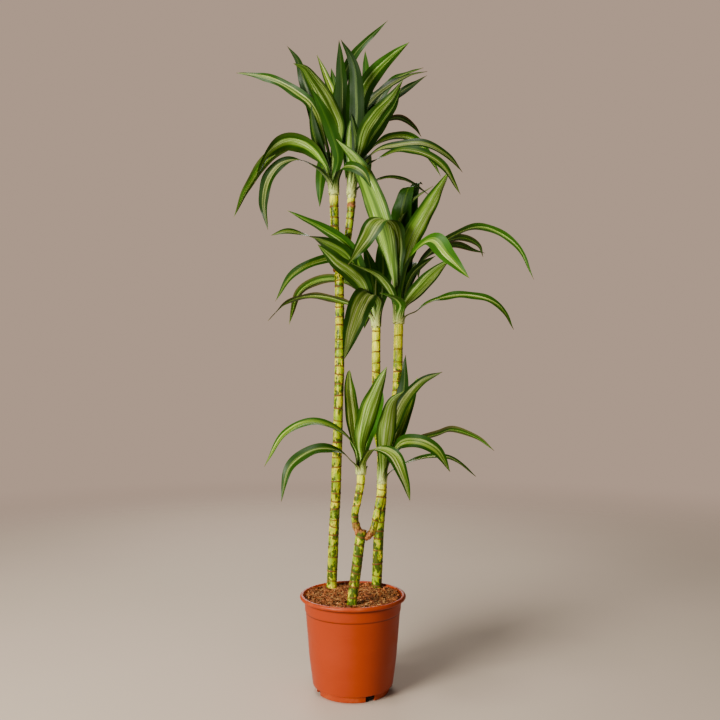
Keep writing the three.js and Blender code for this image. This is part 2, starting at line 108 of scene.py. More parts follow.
# Leaves: name, widest width, roll of the outer half and further twist of the tip in degrees, then
# the points that the midrib passes, from the middle of the head's crown.
LEAVES = {
    "head_tall_left": [
        ("far left", 32, 50, 25,
         (-44, 12, 188), (-79, 24, 223), (-119, 34, 251), (-165, 40, 267), (-211, 45, 275)),
        ("grey left", 28, 30, 60,
         (-25, 20, 100), (-52, 38, 212), (-69, 58, 269), (-80, 68, 310), (-105, 78, 347)),
        ("striped left", 42, -35, 0,
         (4, -12, 138), (-7, -28, 164), (-22, -55, 188), (-39, -80, 208), (-55, -98, 226),
         (-76, -107, 233)),
        ("pale upright", 26, 10, 0, (5, 25, 125), (0, 45, 215), (-20, 60, 275), (-40, 70, 325)),
        ("back upright", 36, 0, 0, (5, 50, 130), (5, 80, 225), (-10, 105, 310)),
        ("olive upright", 34, -15, 0, (10, 0, 95), (15, 0, 180), (15, 5, 255), (10, 10, 330)),
        ("topmost", 24, -72, 0,
         (5, 22, 125), (8, 26, 220), (30, 28, 284), (46, 28, 312), (113, 30, 380)),
        ("low left arch", 38, -58, 30,
         (-24, -12, 68), (-54, -35, 92), (-90, -58, 95), (-126, -76, 68), (-153, -90, 6)),
        ("lowest left arch", 28, -35, 0,
         (-35, 10, 90), (-75, 25, 120), (-135, 35, 95), (-185, 40, 30), (-215, 40, -35)),
        ("front left arch", 32, 30, 0,
         (-30, -30, 47), (-66, -58, 59), (-103, -72, 48), (-127, -85, 12), (-135, -92, -32),
         (-126, -98, -89)),
        ("hanging back", 28, -15, 0, (-14, 45, 75), (-25, 80, 90), (-34, 110, 60), (-36, 120, 5)),
        ("front long", 28, -10, 0,
         (10, -35, 70), (-5, -65, 120), (-20, -95, 150), (-40, -120, 180)),
        ("front dark", 30, 0, 0, (-20, -8, 70), (-40, -22, 123), (-45, -32, 152), (-44, -42, 177)),
        ("small front", 28, -45, 0,
         (6, -22, 28), (18, -64, 41), (40, -98, 34), (62, -116, 15), (76, -126, -15)),
        ("back arch", 30, 0, 0, (-5, 45, 70), (-15, 110, 125), (-20, 165, 125), (-25, 200, 80)),
        ("inner dark", 38, 20, 0, (4, 5, 98), (12, 12, 167), (18, 18, 241)),
    ],
    "head_tall_right": [
        ("front upright", 32, 0, 0, (5, -10, 95), (11, -30, 170), (5, -45, 255), (-20, -60, 300)),
        ("small upright", 34, 0, 0, (15, 20, 105), (32, 40, 205), (29, 50, 325)),
        ("broad upright", 40, 55, 0,
         (12, 0, 165), (26, -2, 220), (49, -7, 254), (77, -11, 282), (118, -15, 314)),
        ("back right", 28, -45, 0, (20, 30, 105), (55, 55, 220), (95, 75, 275), (155, 90, 305)),
        ("pale right", 30, -40, 0,
         (10, 10, 134), (22, 18, 184), (46, 24, 215), (72, 30, 238), (113, 36, 264), (159, 40, 277)),
        ("bright right", 32, 25, 0,
         (20, -25, 96), (30, -45, 126), (51, -75, 149), (77, -100, 169), (100, -115, 199)),
        ("dark right", 34, 30, 0, (20, -10, 85), (55, -15, 140), (85, -30, 180), (100, -40, 210)),
        ("dark back right", 30, -45, 0,
         (20, 50, 130), (60, 80, 212), (112, 100, 258), (165, 120, 300)),
        ("brown back", 26, 25, 0,
         (20, 45, 110), (60, 85, 180), (105, 115, 205), (140, 135, 190), (155, 140, 170)),
        ("first right arch", 28, 20, 0,
         (26, 12, 87), (60, 28, 126), (96, 42, 142), (131, 54, 139), (158, 64, 116), (191, 75, 66)),
        ("second right arch", 28, -50, 0,
         (26, -8, 73), (56, -20, 94), (98, -36, 99), (145, -48, 98), (189, -56, 73), (220, -60, 38)),
        ("third right arch", 30, -42, 0,
         (32, -20, 61), (64, -38, 76), (102, -58, 83), (146, -72, 70), (179, -82, 44), (212, -90, -13)),
        ("low right", 26, -30, 0,
         (42, -28, 27), (76, -36, 34), (102, -28, 33), (129, -18, 24), (161, -8, 4)),
        ("olive middle", 28, 0, 0, (-5, 14, 80), (-4, 28, 145), (-9, 38, 212)),
        ("narrow middle", 20, 0, 0, (10, -10, 75), (10, -20, 115), (0, -30, 165)),
        ("back arch", 30, 0, 0, (10, 45, 70), (25, 110, 120), (35, 165, 125), (40, 195, 85)),
        ("straight back", 30, 0, 0, (0, 40, 70), (-5, 100, 140), (-10, 165, 150), (-15, 215, 95)),
        ("lime inner", 20, 0, 0, (-2, -12, 92), (-2, -18, 131), (2, -20, 165)),
        ("inner dark", 38, -20, 0, (8, 4, 80), (5, 14, 182), (-1, 26, 282)),
    ],
    "head_middle_left": [
        ("upper left", 34, -25, 0,
         (-15, -16, 55), (-55, -44, 158), (-110, -58, 196), (-178, -74, 228)),
        ("twisted left", 38, -35, 100,
         (-26, -15, 84), (-62, -40, 142), (-101, -62, 165), (-146, -82, 179), (-181, -94, 182),
         (-208, -102, 173)),
        ("front bright", 38, -45, 0,
         (-16, -20, 56), (-32, -45, 88), (-54, -72, 107), (-79, -95, 122), (-98, -110, 138),
         (-116, -120, 153)),
        ("high arch", 30, 42, 0,
         (-17, -10, 68), (-48, -32, 128), (-84, -52, 136), (-128, -66, 125), (-169, -76, 99),
         (-201, -82, 47)),
        ("back arch", 30, -30, 0,
         (-21, 8, 59), (-55, 20, 94), (-89, 32, 106), (-126, 42, 103), (-164, 48, 79), (-186, 50, 11)),
        ("low arch", 28, -22, 0,
         (-34, -20, 38), (-75, -35, 52), (-115, -50, 59), (-154, -62, 56), (-185, -72, 41),
         (-216, -80, 9)),
        ("big front", 48, 38, 0,
         (5, -20, 50), (-15, -50, 66), (-32, -90, 42), (-49, -115, -8), (-65, -125, -70)),
        ("dark back", 36, 0, 0, (-5, 15, 80), (-15, 30, 140), (-25, 40, 180)),
        ("upright back", 38, 0, 0, (10, 15, 60), (15, 35, 130), (10, 50, 200)),
        ("straight back", 32, 0, 0, (-5, 40, 60), (-12, 105, 120), (-18, 160, 120), (-20, 200, 75)),
        ("left back", 30, 0, 0, (-10, 35, 60), (-30, 95, 125), (-45, 150, 140), (-50, 190, 110)),
        ("small back", 16, 0, 0, (-8, 12, 25), (-17, 26, 24), (-25, 40, 2)),
    ],
    "head_middle_right": [
        ("tallest", 50, -35, 0,
         (-14, -12, 110), (-27, -26, 169), (-57, -44, 259), (-86, -54, 318), (-126, -62, 361)),
        ("bent over", 48, 10, 45,
         (-4, -15, 126), (-6, -28, 172), (-19, -48, 200), (-44, -72, 197), (-67, -95, 158),
         (-101, -125, 104)),
        ("cream line", 28, 0, 0, (-10, -15, 50), (-35, -50, 85), (-65, -80, 100), (-95, -100, 110)),
        ("small front", 26, 0, 0, (5, -20, 30), (-5, -45, 45), (-20, -70, 50), (-40, -85, 55)),
        ("dark back left", 46, 0, 0,
         (4, 10, 103), (5, 18, 181), (11, 35, 253), (27, 70, 300), (38, 110, 299)),
        ("dark back right", 46, 0, 0,
         (13, 22, 105), (20, 42, 185), (27, 70, 257), (44, 108, 316), (61, 140, 324)),
        ("thin pale", 24, -20, 0, (0, 5, 90), (0, 20, 205), (27, 35, 258), (75, 40, 295)),
        ("big right", 44, 45, 0, (5, -5, 90), (25, -20, 170), (60, -30, 235), (100, -40, 305)),
        ("long right arch", 28, 22, 0,
         (10, 10, 60), (65, 30, 150), (170, 50, 210), (250, 55, 175), (290, 55, 100)),
        ("upper right arch", 28, 40, 0,
         (15, 25, 70), (70, 60, 160), (140, 90, 195), (180, 100, 180), (190, 105, 155)),
        ("lower right arch", 28, 40, 0,
         (15, 35, 60), (60, 85, 150), (130, 120, 185), (175, 135, 175), (200, 140, 170)),
        ("bent right", 46, -40, -25,
         (5, -20, 65), (25, -50, 135), (60, -75, 160), (90, -100, 125), (130, -110, 80)),
        ("short right", 30, 30, 0, (10, 5, 50), (30, 0, 105), (75, -5, 140)),
        ("striped right", 36, 35, 0, (10, -15, 35), (50, -35, 80), (75, -50, 105), (100, -60, 125)),
        ("low right arch", 28, -38, 0,
         (15, -5, 10), (65, -25, 45), (140, -40, 55), (195, -50, 35), (225, -60, -15)),
        ("straight back", 32, 0, 0, (5, 40, 60), (10, 110, 120), (15, 170, 120), (20, 210, 70)),
        ("right back", 30, 0, 0, (10, 35, 60), (35, 95, 125), (50, 150, 150), (55, 190, 120)),
    ],
    "head_short_left": [
        ("high arch", 30, 25, 0,
         (-5, -10, 35), (-30, -20, 78), (-90, -25, 102), (-140, -30, 82), (-180, -35, 20)),
        ("low arch", 28, 35, 0,
         (-10, -15, 15), (-35, -30, 45), (-85, -45, 52), (-131, -55, 20), (-146, -60, -42)),
        ("upright left", 34, 10, 0,
         (-12, 10, 65), (-18, 5, 120), (-23, 0, 165), (-23, 6, 190), (-22, 20, 200)),
        ("front upright", 40, 15, 0, (0, -20, 55), (14, -40, 120), (30, -55, 165), (47, -65, 205)),
        ("dark back", 38, 0, 0, (12, 25, 65), (28, 45, 120), (36, 58, 155), (38, 66, 178)),
        ("front drooping", 32, -15, 0,
         (5, -30, 25), (22, -60, 54), (56, -90, 46), (76, -105, 5), (86, -115, -33)),
        ("straight back", 30, 0, 0, (-5, 30, 45), (-10, 75, 75), (-15, 90, 110)),
        ("back arch", 30, 0, 0, (0, 38, 50), (0, 95, 95), (2, 145, 100), (5, 185, 75)),
        ("stub", 12, 0, 0, (9, 2, 6), (18, 4, 16)),
    ],
    "head_short_right": [
        ("broad front", 42, 0, 0, (5, -20, 55), (12, -45, 125), (20, -60, 160), (40, -70, 180)),
        ("striped right", 38, -45, 0, (15, 5, 55), (40, 10, 120), (55, 15, 160), (70, 10, 205)),
        ("far right", 36, -50, 0, (10, -5, 65), (45, -10, 160), (75, -15, 195), (115, -20, 215)),
        ("dark back", 32, 0, 0, (10, 25, 80), (42, 45, 165), (50, 60, 250)),
        ("high arch", 26, 35, 0,
         (15, 5, 45), (35, 15, 75), (80, 30, 87), (112, 35, 94), (140, 42, 102), (190, 50, 86),
         (225, 50, 60)),
        ("middle arch", 32, -50, 0,
         (10, -10, 30), (35, -30, 80), (65, -45, 85), (100, -55, 70), (125, -60, 30)),
        ("low arch", 26, -15, 0,
         (10, -5, 10), (25, -15, 30), (65, -30, 50), (125, -40, 55), (175, -45, 20)),
        ("straight back", 30, 0, 0, (5, 30, 50), (15, 70, 85), (25, 95, 120)),
        ("back arch", 28, 0, 0, (15, 28, 45), (50, 72, 80), (80, 112, 84), (98, 142, 60)),
    ],
}

# A leaf's look: how pale its middle is, from 0 for dark green to 1 for nearly white, how light it
# is beside the others, which is partly the leaf's own lightness and partly painted light and shade
# for where it sits in its head, and how brown the under side of its margins is. What a row leaves
# out is drawn at random, plain and slight.
TONES_AND_PAINTED_LIGHT = {"dark": 0.45, "dim": 0.75, "plain": 1, "light": 1.25, "bright": 1.7, "brightest": 2.6}
SLIGHT_RUST = 0.06
LOOKS = {
    "head_tall_left": {
        "far left": (0.45,), "grey left": (0.12, "dark"), "striped left": (0.95, "dim"),
        "pale upright": (0.7, "light"), "back upright": (0.15,), "olive upright": (0.18, "dark"),
        "topmost": (0.15, "dim"), "low left arch": (0.45, "bright", 0.15),
        "lowest left arch": (0.4, "bright", 0.3), "front left arch": (0.4, "dark"),
        "hanging back": (0.3, "light"), "front long": (0.12,), "front dark": (0.3, "dark"),
        "small front": (0.35, "dim"), "inner dark": (0.03,),
    },
    "head_tall_right": {
        "front upright": (0.18, "dark"), "small upright": (0.05,),
        "broad upright": (0.42, "bright"), "back right": (0.3,), "pale right": (0.55, "dark"),
        "bright right": (0.6, "dim"), "dark right": (0.12, "light"),
        "dark back right": (0.25, "dim"), "brown back": (0.2, "plain", 1),
        "first right arch": (0.5, "bright"), "second right arch": (0.5, "dark", 0.6),
        "third right arch": (0.5, "dim"), "low right": (0.3,), "olive middle": (0.5,),
        "narrow middle": (0.35, "dark"), "lime inner": (0.85,), "inner dark": (0.05,),
    },
    "head_middle_left": {
        "upper left": (0.35, "light"), "twisted left": (0.5, "dim"), "front bright": (0.55, "dim"),
        "high arch": (0.4, "dim"), "back arch": (0.4, "bright", 0.6),
        "low arch": (0.45, "light", 0.5), "big front": (0.62, "dark"),
        "dark back": (0.1, "brightest"), "upright back": (0.05, "brightest"),
    },
    "head_middle_right": {
        "tallest": (0.95,), "bent over": (0.65, "dim"), "cream line": (0.55, "dim"),
        "small front": (0.2, "bright"), "dark back left": (0.04, "bright"),
        "dark back right": (0.04,), "thin pale": (0.5,), "big right": (0.85, "light"),
        "long right arch": (0.3, "bright"), "upper right arch": (0.2, "plain", 0.7),
        "lower right arch": (0.15, "plain", 0.9), "bent right": (0.4, "bright"),
        "short right": (0.4, "bright"), "striped right": (0.75,),
        "low right arch": (0.35, "light", 0.7),
    },
    "head_short_left": {
        "high arch": (0.6, "light"), "low arch": (0.3, "dim", 0.8),
        "upright left": (0.75, "bright"), "front upright": (0.95, "light"),
        "dark back": (0.08, "bright"), "front drooping": (0.65,),
    },
    "head_short_right": {
        "broad front": (0.95,), "striped right": (0.7, "bright"), "far right": (0.6, "dark"),
        "dark back": (0.1, "dark"), "high arch": (0.2, "bright", 0.8), "middle arch": (0.5, "dim"),
        "low arch": (0.35,),
    },
}

# ------------------------------------------------------------------ curves


def smooth(t):
    """0 to 1 with an eased start and end."""
    t = np.clip(t, 0.0, 1.0)
    return t * t * (3 - 2 * t)


def catmull(points, per_span=24):
    """A centripetal Catmull-Rom curve through the points, as a fine line of points."""
    ends = [np.array(p, float) for p in points]
    ends = [2 * ends[0] - ends[1]] + ends + [2 * ends[-1] - ends[-2]]
    line = []
    for p0, p1, p2, p3 in zip(ends, ends[1:], ends[2:], ends[3:]):
        pairs = ((p0, p1), (p1, p2), (p2, p3))
        d0, d1, d2 = (max(np.sum((b - a) ** 2) ** 0.25, 1e-4) for a, b in pairs)
        v1 = ((p1 - p0) / d0 - (p2 - p0) / (d0 + d1) + (p2 - p1) / d1) * d1
        v2 = ((p2 - p1) / d1 - (p3 - p1) / (d1 + d2) + (p3 - p2) / d2) * d1
        for t in np.arange(per_span) / per_span:
            line.append(p1 + v1 * t + (3 * p2 - 3 * p1 - 2 * v1 - v2) * t**2
                        + (2 * p1 - 2 * p2 + v1 + v2) * t**3)
    line.append(ends[-2])
    return np.array(line)


def along(line, places):
    """Points of a line at distances along it."""
    steps = np.linalg.norm(np.diff(line, axis=0), axis=1)
    far = np.concatenate([[0], np.cumsum(steps)])
    return np.stack([np.interp(places, far, line[:, k]) for k in range(3)], 1)


def length_of(line):
    return float(np.linalg.norm(np.diff(line, axis=0), axis=1).sum())


def unit(v):
    return v / np.linalg.norm(v, axis=-1, keepdims=True)


# ------------------------------------------------------------------ meshes


def new_piece(name, points, faces, node, material, smooth_angle=None):
    """A visible piece from points in millimetres, in place of a CAD node."""
    mesh = bpy.data.meshes.new(name)
    mesh.from_pydata([tuple(p) for p in np.asarray(points) * MM], [], faces)
    mesh.update()
    piece = bpy.data.objects.new(name, mesh)
    bpy.context.scene.collection.objects.link(piece)
    mesh.shade_smooth()
    if smooth_angle:
        mesh.set_sharp_from_angle(angle=math.radians(smooth_angle))
    mesh.materials.append(material)
    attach(piece, "root")
    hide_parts(node)
    return piece


def set_attribute(mesh, name, kind, domain, values):
    data = mesh.attributes.new(name, kind, domain).data
    field = "value" if kind == "FLOAT" else "vector"
    data.foreach_set(field, np.asarray(values, np.float32).ravel())


def tube_faces(rows, sides):
    """Quads between rings of points that follow one another."""
    faces = []
    for i in range(rows - 1):
        for j in range(sides):
            a = i * sides + j
            b = i * sides + (j + 1) % sides
            faces.append((a, b, b + sides, a + sides))
    return faces


def turns(count):
    """Angles evenly round a circle."""
    return 2 * np.pi * np.arange(count) / count


def revolve(profile, segments):
    """A closed body of revolution: the profile runs from the axis to the axis."""
    turn = turns(segments)
    circle = np.stack([np.cos(turn), np.sin(turn)], 1)
    inner = profile[1:-1]
    points = [np.column_stack([circle * r, np.full(segments, z)]) for r, z in inner]
    points = np.concatenate(points)
    faces = tube_faces(len(inner), segments)
    first, last = len(points), len(points) + 1
    points = np.vstack([points, [0, 0, profile[0][1]], [0, 0, profile[-1][1]]])
    top = (len(inner) - 1) * segments
    for j in range(segments):
        k = (j + 1) % segments
        faces.append((first, k, j))
        faces.append((last, top + j, top + k))
    return points, faces


def rounded(profile, radius, steps=4):
    """The profile with each inner corner turned into a short curve."""
    line = [np.array(p, float) for p in profile]
    out = [line[0]]
    for before, corner, after in zip(line, line[1:], line[2:]):
        reach_in = min(radius, 0.45 * np.linalg.norm(corner - before))
        reach_out = min(radius, 0.45 * np.linalg.norm(after - corner))
        a = corner + unit(before - corner) * reach_in
        b = corner + unit(after - corner) * reach_out
        for t in np.linspace(0, 1, steps):
            out.append((1 - t) ** 2 * a + 2 * t * (1 - t) * corner + t * t * b)
    out.append(line[-1])
    return out


# ------------------------------------------------------------------ materials


class Graph:
    """A material's node tree, built up by small calls. Sockets and plain numbers both fit."""

    def __init__(self, name, **settings):
        self.material = bpy.data.materials.new(name)
        self.material.use_nodes = True
        self.tree = self.material.node_tree
        self.surface = self.tree.nodes["Principled BSDF"]
        for socket, value in settings.items():
            self.surface.inputs[socket.replace("_", " ")].default_value = value

    def node(self, kind, inputs=(), **settings):
        made = self.tree.nodes.new("ShaderNode" + kind)
        for key, value in settings.items():
            setattr(made, key, value)
        for key, value in dict(inputs).items():
            self.put(made.inputs[key], value)
        return made

    def put(self, socket, value):
        if isinstance(value, bpy.types.NodeSocket):
            self.tree.links.new(value, socket)
        elif isinstance(value, tuple) and len(value) == 3 and socket.type == "RGBA":
            socket.default_value = (*value, 1)
        else:
            socket.default_value = value

    def set(self, socket, value):
        self.put(self.surface.inputs[socket], value)

    def math(self, operation, a, b=0.0, c=0.0):
        return self.node("Math", {0: a, 1: b, 2: c}, operation=operation).outputs[0]

    def add(self, a, b):
        return self.math("ADD", a, b)

    def times(self, a, b):
        return self.math("MULTIPLY", a, b)

    def span(self, value, low, high, out_low=0.0, out_high=1.0):
        """value from low to high, eased, as out_low to out_high."""
        inputs = {"Value": value, "From Min": low, "From Max": high,
                  "To Min": out_low, "To Max": out_high}
        return self.node("MapRange", inputs, interpolation_type="SMOOTHSTEP").outputs["Result"]

    def mix(self, share, a, b, blend="MIX"):
        made = self.node("Mix", data_type="RGBA", blend_type=blend)
        for key, value in (("Factor_Float", share), ("A_Color", a), ("B_Color", b)):
            socket = next(s for s in made.inputs if s.identifier == key)
            self.put(socket, value)
        return next(s for s in made.outputs if s.identifier == "Result_Color")

    def noise(self, vector, scale=1.0, detail=2.0, roughness=0.5):
        inputs = {"Vector": vector, "Scale": scale, "Detail": detail, "Roughness": roughness}
        return self.node("TexNoise", inputs).outputs["Fac"]

    def place(self, x=0.0, y=0.0, z=0.0):
        return self.node("CombineXYZ", {"X": x, "Y": y, "Z": z}).outputs[0]

    def attribute(self, name):
        return self.node("Attribute", attribute_name=name)

    def parts(self, vector):
        made = self.node("SeparateXYZ", {0: vector})
        return made.outputs[0], made.outputs[1], made.outputs[2]

    def local(self, *scale):
        """The piece's own coordinates, in millimetres times scale."""
        where = self.node("TexCoord").outputs["Object"]
        inputs = {"Vector": where, "Scale": [1000 * s for s in scale]}
        return self.node("Mapping", inputs).outputs[0]

    def bump(self, height, strength, distance_mm):
        inputs = {"Height": height, "Strength": strength, "Distance": distance_mm * MM}
        self.set("Normal", self.node("Bump", inputs).outputs[0])


def leaf_material():
    g = Graph("leaf_green", Specular_IOR_Level=0.13)
    across, share, far = g.parts(g.attribute("leaf_place").outputs["Vector"])
    seed, pale, under = g.parts(g.attribute("leaf_look").outputs["Vector"])
    drift = g.noise(g.place(g.times(seed, 37.0), g.times(far, 0.02)), 1.0, 1.0)
    shifted = g.add(across, g.times(g.add(drift, -0.5), 0.35))
    centre = g.math("ABSOLUTE", shifted)
    # long stripes, coarse and fine, each leaf with its own
    coarse = g.noise(g.place(g.add(g.times(across, 2.6), g.times(seed, 91.0)),
                             g.times(far, 0.0035), seed), 1.0, 2.0, 0.6)
    fine = g.noise(g.place(g.add(g.times(across, 5.6), g.times(seed, 53.0)),
                           g.times(far, 0.003), 3.0), 1.0, 3.0, 0.6)
    veins = g.noise(g.place(g.add(g.times(across, 42.0), g.times(seed, 17.0)),
                            g.times(far, 0.006), 7.0), 1.0, 1.0)
    # the pale middle: wide on a pale leaf, a line on a dark one
    width = g.span(pale, 0.0, 1.0, 0.14, 0.95)
    middle = g.span(g.math("DIVIDE", centre, width), 0.62, 0.98, 1.0, 0.0)
    streak = g.span(g.add(g.times(coarse, 0.45), g.times(fine, 0.55)), 0.41, 0.56)
    light = g.times(middle, g.span(streak, 0.0, 1.0, 0.35, 1.0))
    light = g.times(light, g.span(pale, 0.0, 0.7, 0.25, 1.0))
    deep = g.mix(fine, (0.005, 0.030, 0.0006), (0.026, 0.088, 0.002))
    lime = g.mix(coarse, (0.085, 0.19, 0.005), (0.36, 0.45, 0.055))
    colour = g.mix(light, deep, lime)
    # one or two cream lines beside the middle
    line = g.span(g.math("ABSOLUTE", g.add(fine, -0.5)), 0.0, 0.04, 1.0, 0.0)
    line = g.times(g.times(line, middle), g.span(coarse, 0.42, 0.56))
    line = g.times(line, g.span(pale, 0.05, 0.6, 0.2, 0.95))
    colour = g.mix(line, colour, (0.78, 0.80, 0.38))
    # darker towards the tip, with a dry point
    colour = g.mix(g.span(share, 0.55, 1.0, 0.0, 0.45), colour, deep)
    colour = g.mix(g.span(share, 0.98, 1.0, 0.0, 0.8), colour, (0.20, 0.13, 0.05))
    # duller below, with a brownish margin
    below = g.mix(1.0, colour, (0.80, 1.0, 0.85), "MULTIPLY")
    rust = g.attribute("leaf_rust").outputs["Fac"]
    rim = g.span(g.math("ABSOLUTE", across), 0.3, 0.98)
    rim = g.times(rim, g.span(coarse, 0.4, 0.6, 0.4, 1.0))
    below = g.mix(g.times(rim, rust), below, (0.125, 0.075, 0.035))
    colour = g.mix(under, colour, below)
    # each leaf lighter or darker than the others: partly the leaf's own lightness, partly painted light
    # on leaves deep in shade and painted shade on others
    tone_and_painted_light = g.attribute("leaf_tone_and_painted_light").outputs["Fac"]
    colour = g.mix(1.0, colour, g.place(tone_and_painted_light, tone_and_painted_light, tone_and_painted_light), "MULTIPLY")
    # cream where the leaf clasps the stem
    cream = g.span(g.add(far, g.times(g.add(fine, -0.5), 70.0)), -4.0, 24.0, 1.0, 0.0)
    sheath = g.mix(g.span(veins, 0.42, 0.58), (0.88, 0.90, 0.36), (0.40, 0.52, 0.06))
    colour = g.mix(g.times(cream, 0.92), colour, sheath)
    # fine veins all over
    vein = g.span(veins, 0.42, 0.62, 0.0, 0.16)
    colour = g.mix(vein, colour, (0.02, 0.05, 0.01), "MULTIPLY")
    g.set("Base Color", colour)
    g.set("Roughness", g.add(g.span(veins, 0.3, 0.7, 0.34, 0.46), g.times(under, 0.12)))
    relief = g.add(g.times(fine, 0.8), g.times(veins, 0.2))
    g.bump(relief, 0.16, 0.5)
    return g.material


def cane_material():
    g = Graph("cane_bark", Specular_IOR_Level=0.13)
    scar, band, age = g.parts(g.attribute("cane_look").outputs["Vector"])
    cork, cream, collar = g.parts(g.attribute("cane_end").outputs["Vector"])
    run = g.attribute("cane_run").outputs["Fac"]
    patch = g.noise(g.local(0.055, 0.055, 0.045), 1.0, 3.0, 0.6)
    blotch = g.noise(g.local(0.13, 0.13, 0.075), 1.0, 3.0, 0.6)
    mottle = g.noise(g.local(0.10, 0.10, 0.05), 1.0, 4.0, 0.65)
    streak = g.noise(g.local(0.45, 0.45, 0.05), 1.0, 3.0, 0.6)
    fleck = g.noise(g.local(0.35, 0.35, 0.22), 1.0, 4.0, 0.7)
    # yellow-green, each length between scars its own
    fresh = g.mix(g.span(patch, 0.40, 0.55), (0.60, 0.58, 0.0), (0.24, 0.37, 0.0))
    fresh = g.mix(g.span(band, 0.55, 1.0, 0.0, 0.7), fresh, (0.20, 0.30, 0.0))
    fresh = g.mix(g.span(streak, 0.50, 0.68, 0.0, 0.45), fresh, (0.15, 0.18, 0.0))
    old = g.mix(g.span(patch, 0.4, 0.6), (0.075, 0.19, 0.0), (0.26, 0.40, 0.0))
    fresh = g.mix(g.times(age, 0.75), fresh, old)
    # pale dry patches, and dark green mottling, with more of it just above a scar as painted shade
    dry = g.times(g.span(blotch, 0.51, 0.59), g.span(band, 0.0, 0.8, 1.0, 0.3))
    straw = g.mix(fleck, (0.76, 0.56, 0.0), (1.0, 0.86, 0.03))
    fresh = g.mix(g.times(dry, 0.85), fresh, straw)
    # painted shade: more dark mottling in the narrow groove just above each scar
    near = g.span(g.add(run, g.times(g.add(blotch, -0.5), 1.2)), 0.0, 0.4, 0.11, 0.0)
    dark = g.span(g.add(g.add(mottle, near), g.times(age, 0.085)), 0.54, 0.605, 0.0, 0.95)
    deep = g.mix(patch, (0.014, 0.032, 0.007), (0.045, 0.092, 0.005))
    colour = g.mix(dark, fresh, deep)
    colour = g.mix(g.span(fleck, 0.57, 0.67, 0.0, 0.6), colour, (0.30, 0.13, 0.012))
    # pale below a head, brown at the scars and corky where a shoot grew out
    young = g.mix(g.span(streak, 0.4, 0.6), (0.95, 0.88, 0.03), (0.42, 0.56, 0.0))
    colour = g.mix(cream, colour, young)
    ring = g.times(g.span(scar, 0.1, 0.7), g.span(patch, 0.40, 0.62, 1.0, 0.6))
    colour = g.mix(ring, colour, g.mix(fleck, (0.050, 0.018, 0.005), (0.22, 0.080, 0.018)))
    brown = g.mix(g.span(fleck, 0.38, 0.62), (0.085, 0.024, 0.007), (0.46, 0.18, 0.05))
    corky = g.math("MAXIMUM", cork, collar)
    g.set("Base Color", g.mix(corky, colour, brown))
    rough = g.times(g.math("MAXIMUM", corky, scar), 0.3)
    g.set("Roughness", g.add(g.span(fleck, 0.35, 0.65, 0.26, 0.44), rough))
    g.bump(g.add(g.times(streak, 0.5), g.times(fleck, 0.6)), 0.45, 0.6)
    return g.material


def pot_material():
    g = Graph("pot_plastic", Specular_IOR_Level=0.18)
    z = g.parts(g.local(1, 1, 1))[2]
    cloud = g.noise(g.local(0.012, 0.012, 0.02), 1.0, 3.0, 0.55)
    grain = g.noise(g.local(1.1, 1.1, 1.1), 1.0, 3.0, 0.6)
    colour = g.mix(cloud, (0.285, 0.028, 0.0028), (0.335, 0.035, 0.0034))
    # dust along the lip and the foot
    dust = g.noise(g.local(0.05, 0.05, 0.05), 1.0, 5.0, 0.7)
    near = g.add(g.span(z, 180.0, 190.0), g.span(z, 4.0, 22.0, 0.8, 0.0))
    dusty = g.times(near, g.span(dust, 0.45, 0.75, 0.05, 0.5))
    colour = g.mix(dusty, colour, (0.48, 0.115, 0.030))
    # painted shade in the crease and painted shadow under the lip
    painted_crease_shade = g.span(g.math("ABSOLUTE", g.add(z, -POT_CREASE)), 0.3, 2.0, 0.75, 0.0)
    colour = g.mix(painted_crease_shade, colour, (0.075, 0.008, 0.0))
    # painted shadow: a dark band just below where the lip stands out over the collar
    painted_lip_shadow = g.times(g.span(z, LIP_FOOT - 7.4, LIP_FOOT - 2.4),
                        g.span(z, LIP_FOOT - 1.0, LIP_FOOT, 1.0, 0.0))
    colour = g.mix(g.times(painted_lip_shadow, 0.9), colour, (0.05, 0.005, 0.0))
    scuff = g.noise(g.local(0.03, 0.03, 0.35), 1.0, 4.0, 0.7)
    colour = g.mix(g.span(scuff, 0.60, 0.78, 0.0, 0.35), colour, (0.44, 0.062, 0.008))
    g.set("Base Color", colour)
    g.set("Roughness", g.add(g.span(cloud, 0.3, 0.7, 0.28, 0.38), g.times(dust, 0.12)))
    turned = g.noise(g.local(0.004, 0.004, 0.55), 1.0, 2.0)
    g.bump(g.add(g.times(grain, 0.35), g.times(turned, 0.5)), 0.25, 0.35)
    return g.material


def soil_material():
    g = Graph("soil_bark", Specular_IOR_Level=0.25, Roughness=0.9)
    tint, kind, _ = g.parts(g.attribute("bit_look").outputs["Vector"])
    clump = g.noise(g.local(0.07, 0.07, 0.07), 1.0, 4.0, 0.65)
    grit = g.noise(g.local(0.6, 0.6, 0.6), 1.0, 4.0, 0.7)
    thread = g.noise(g.local(0.25, 1.6, 0.6), 1.0, 3.0, 0.6)
    ground = g.mix(g.span(clump, 0.35, 0.65), (0.030, 0.007, 0.0015), (0.17, 0.045, 0.008))
    chip = g.mix(tint, (0.085, 0.019, 0.004), (0.98, 0.32, 0.080))
    chip = g.mix(g.span(clump, 0.42, 0.58, 0.55, 0.0), chip, (0.070, 0.016, 0.003))
    chip = g.mix(g.span(thread, 0.4, 0.65, 0.0, 0.5), chip, (0.26, 0.070, 0.014))
    fibre = g.mix(tint, (0.30, 0.085, 0.015), (1.0, 0.58, 0.20))
    colour = g.mix(g.span(kind, 0.25, 0.3), ground, chip)
    colour = g.mix(g.span(kind, 0.7, 0.75), colour, fibre)
    colour = g.mix(g.span(grit, 0.3, 0.5, 0.45, 0.0), colour, (0.02, 0.009, 0.004))
    # painted shade: the soil turns nearly black below 20 to 40 mm, where it shows only through the
    # drain notches
    low = g.parts(g.local(1, 1, 1))[2]
    colour = g.mix(g.span(low, 20.0, 40.0, 1.0, 0.0), colour, (0.004, 0.003, 0.002))
    g.set("Base Color", colour)
    g.bump(grit, 0.6, 0.8)
    return g.material


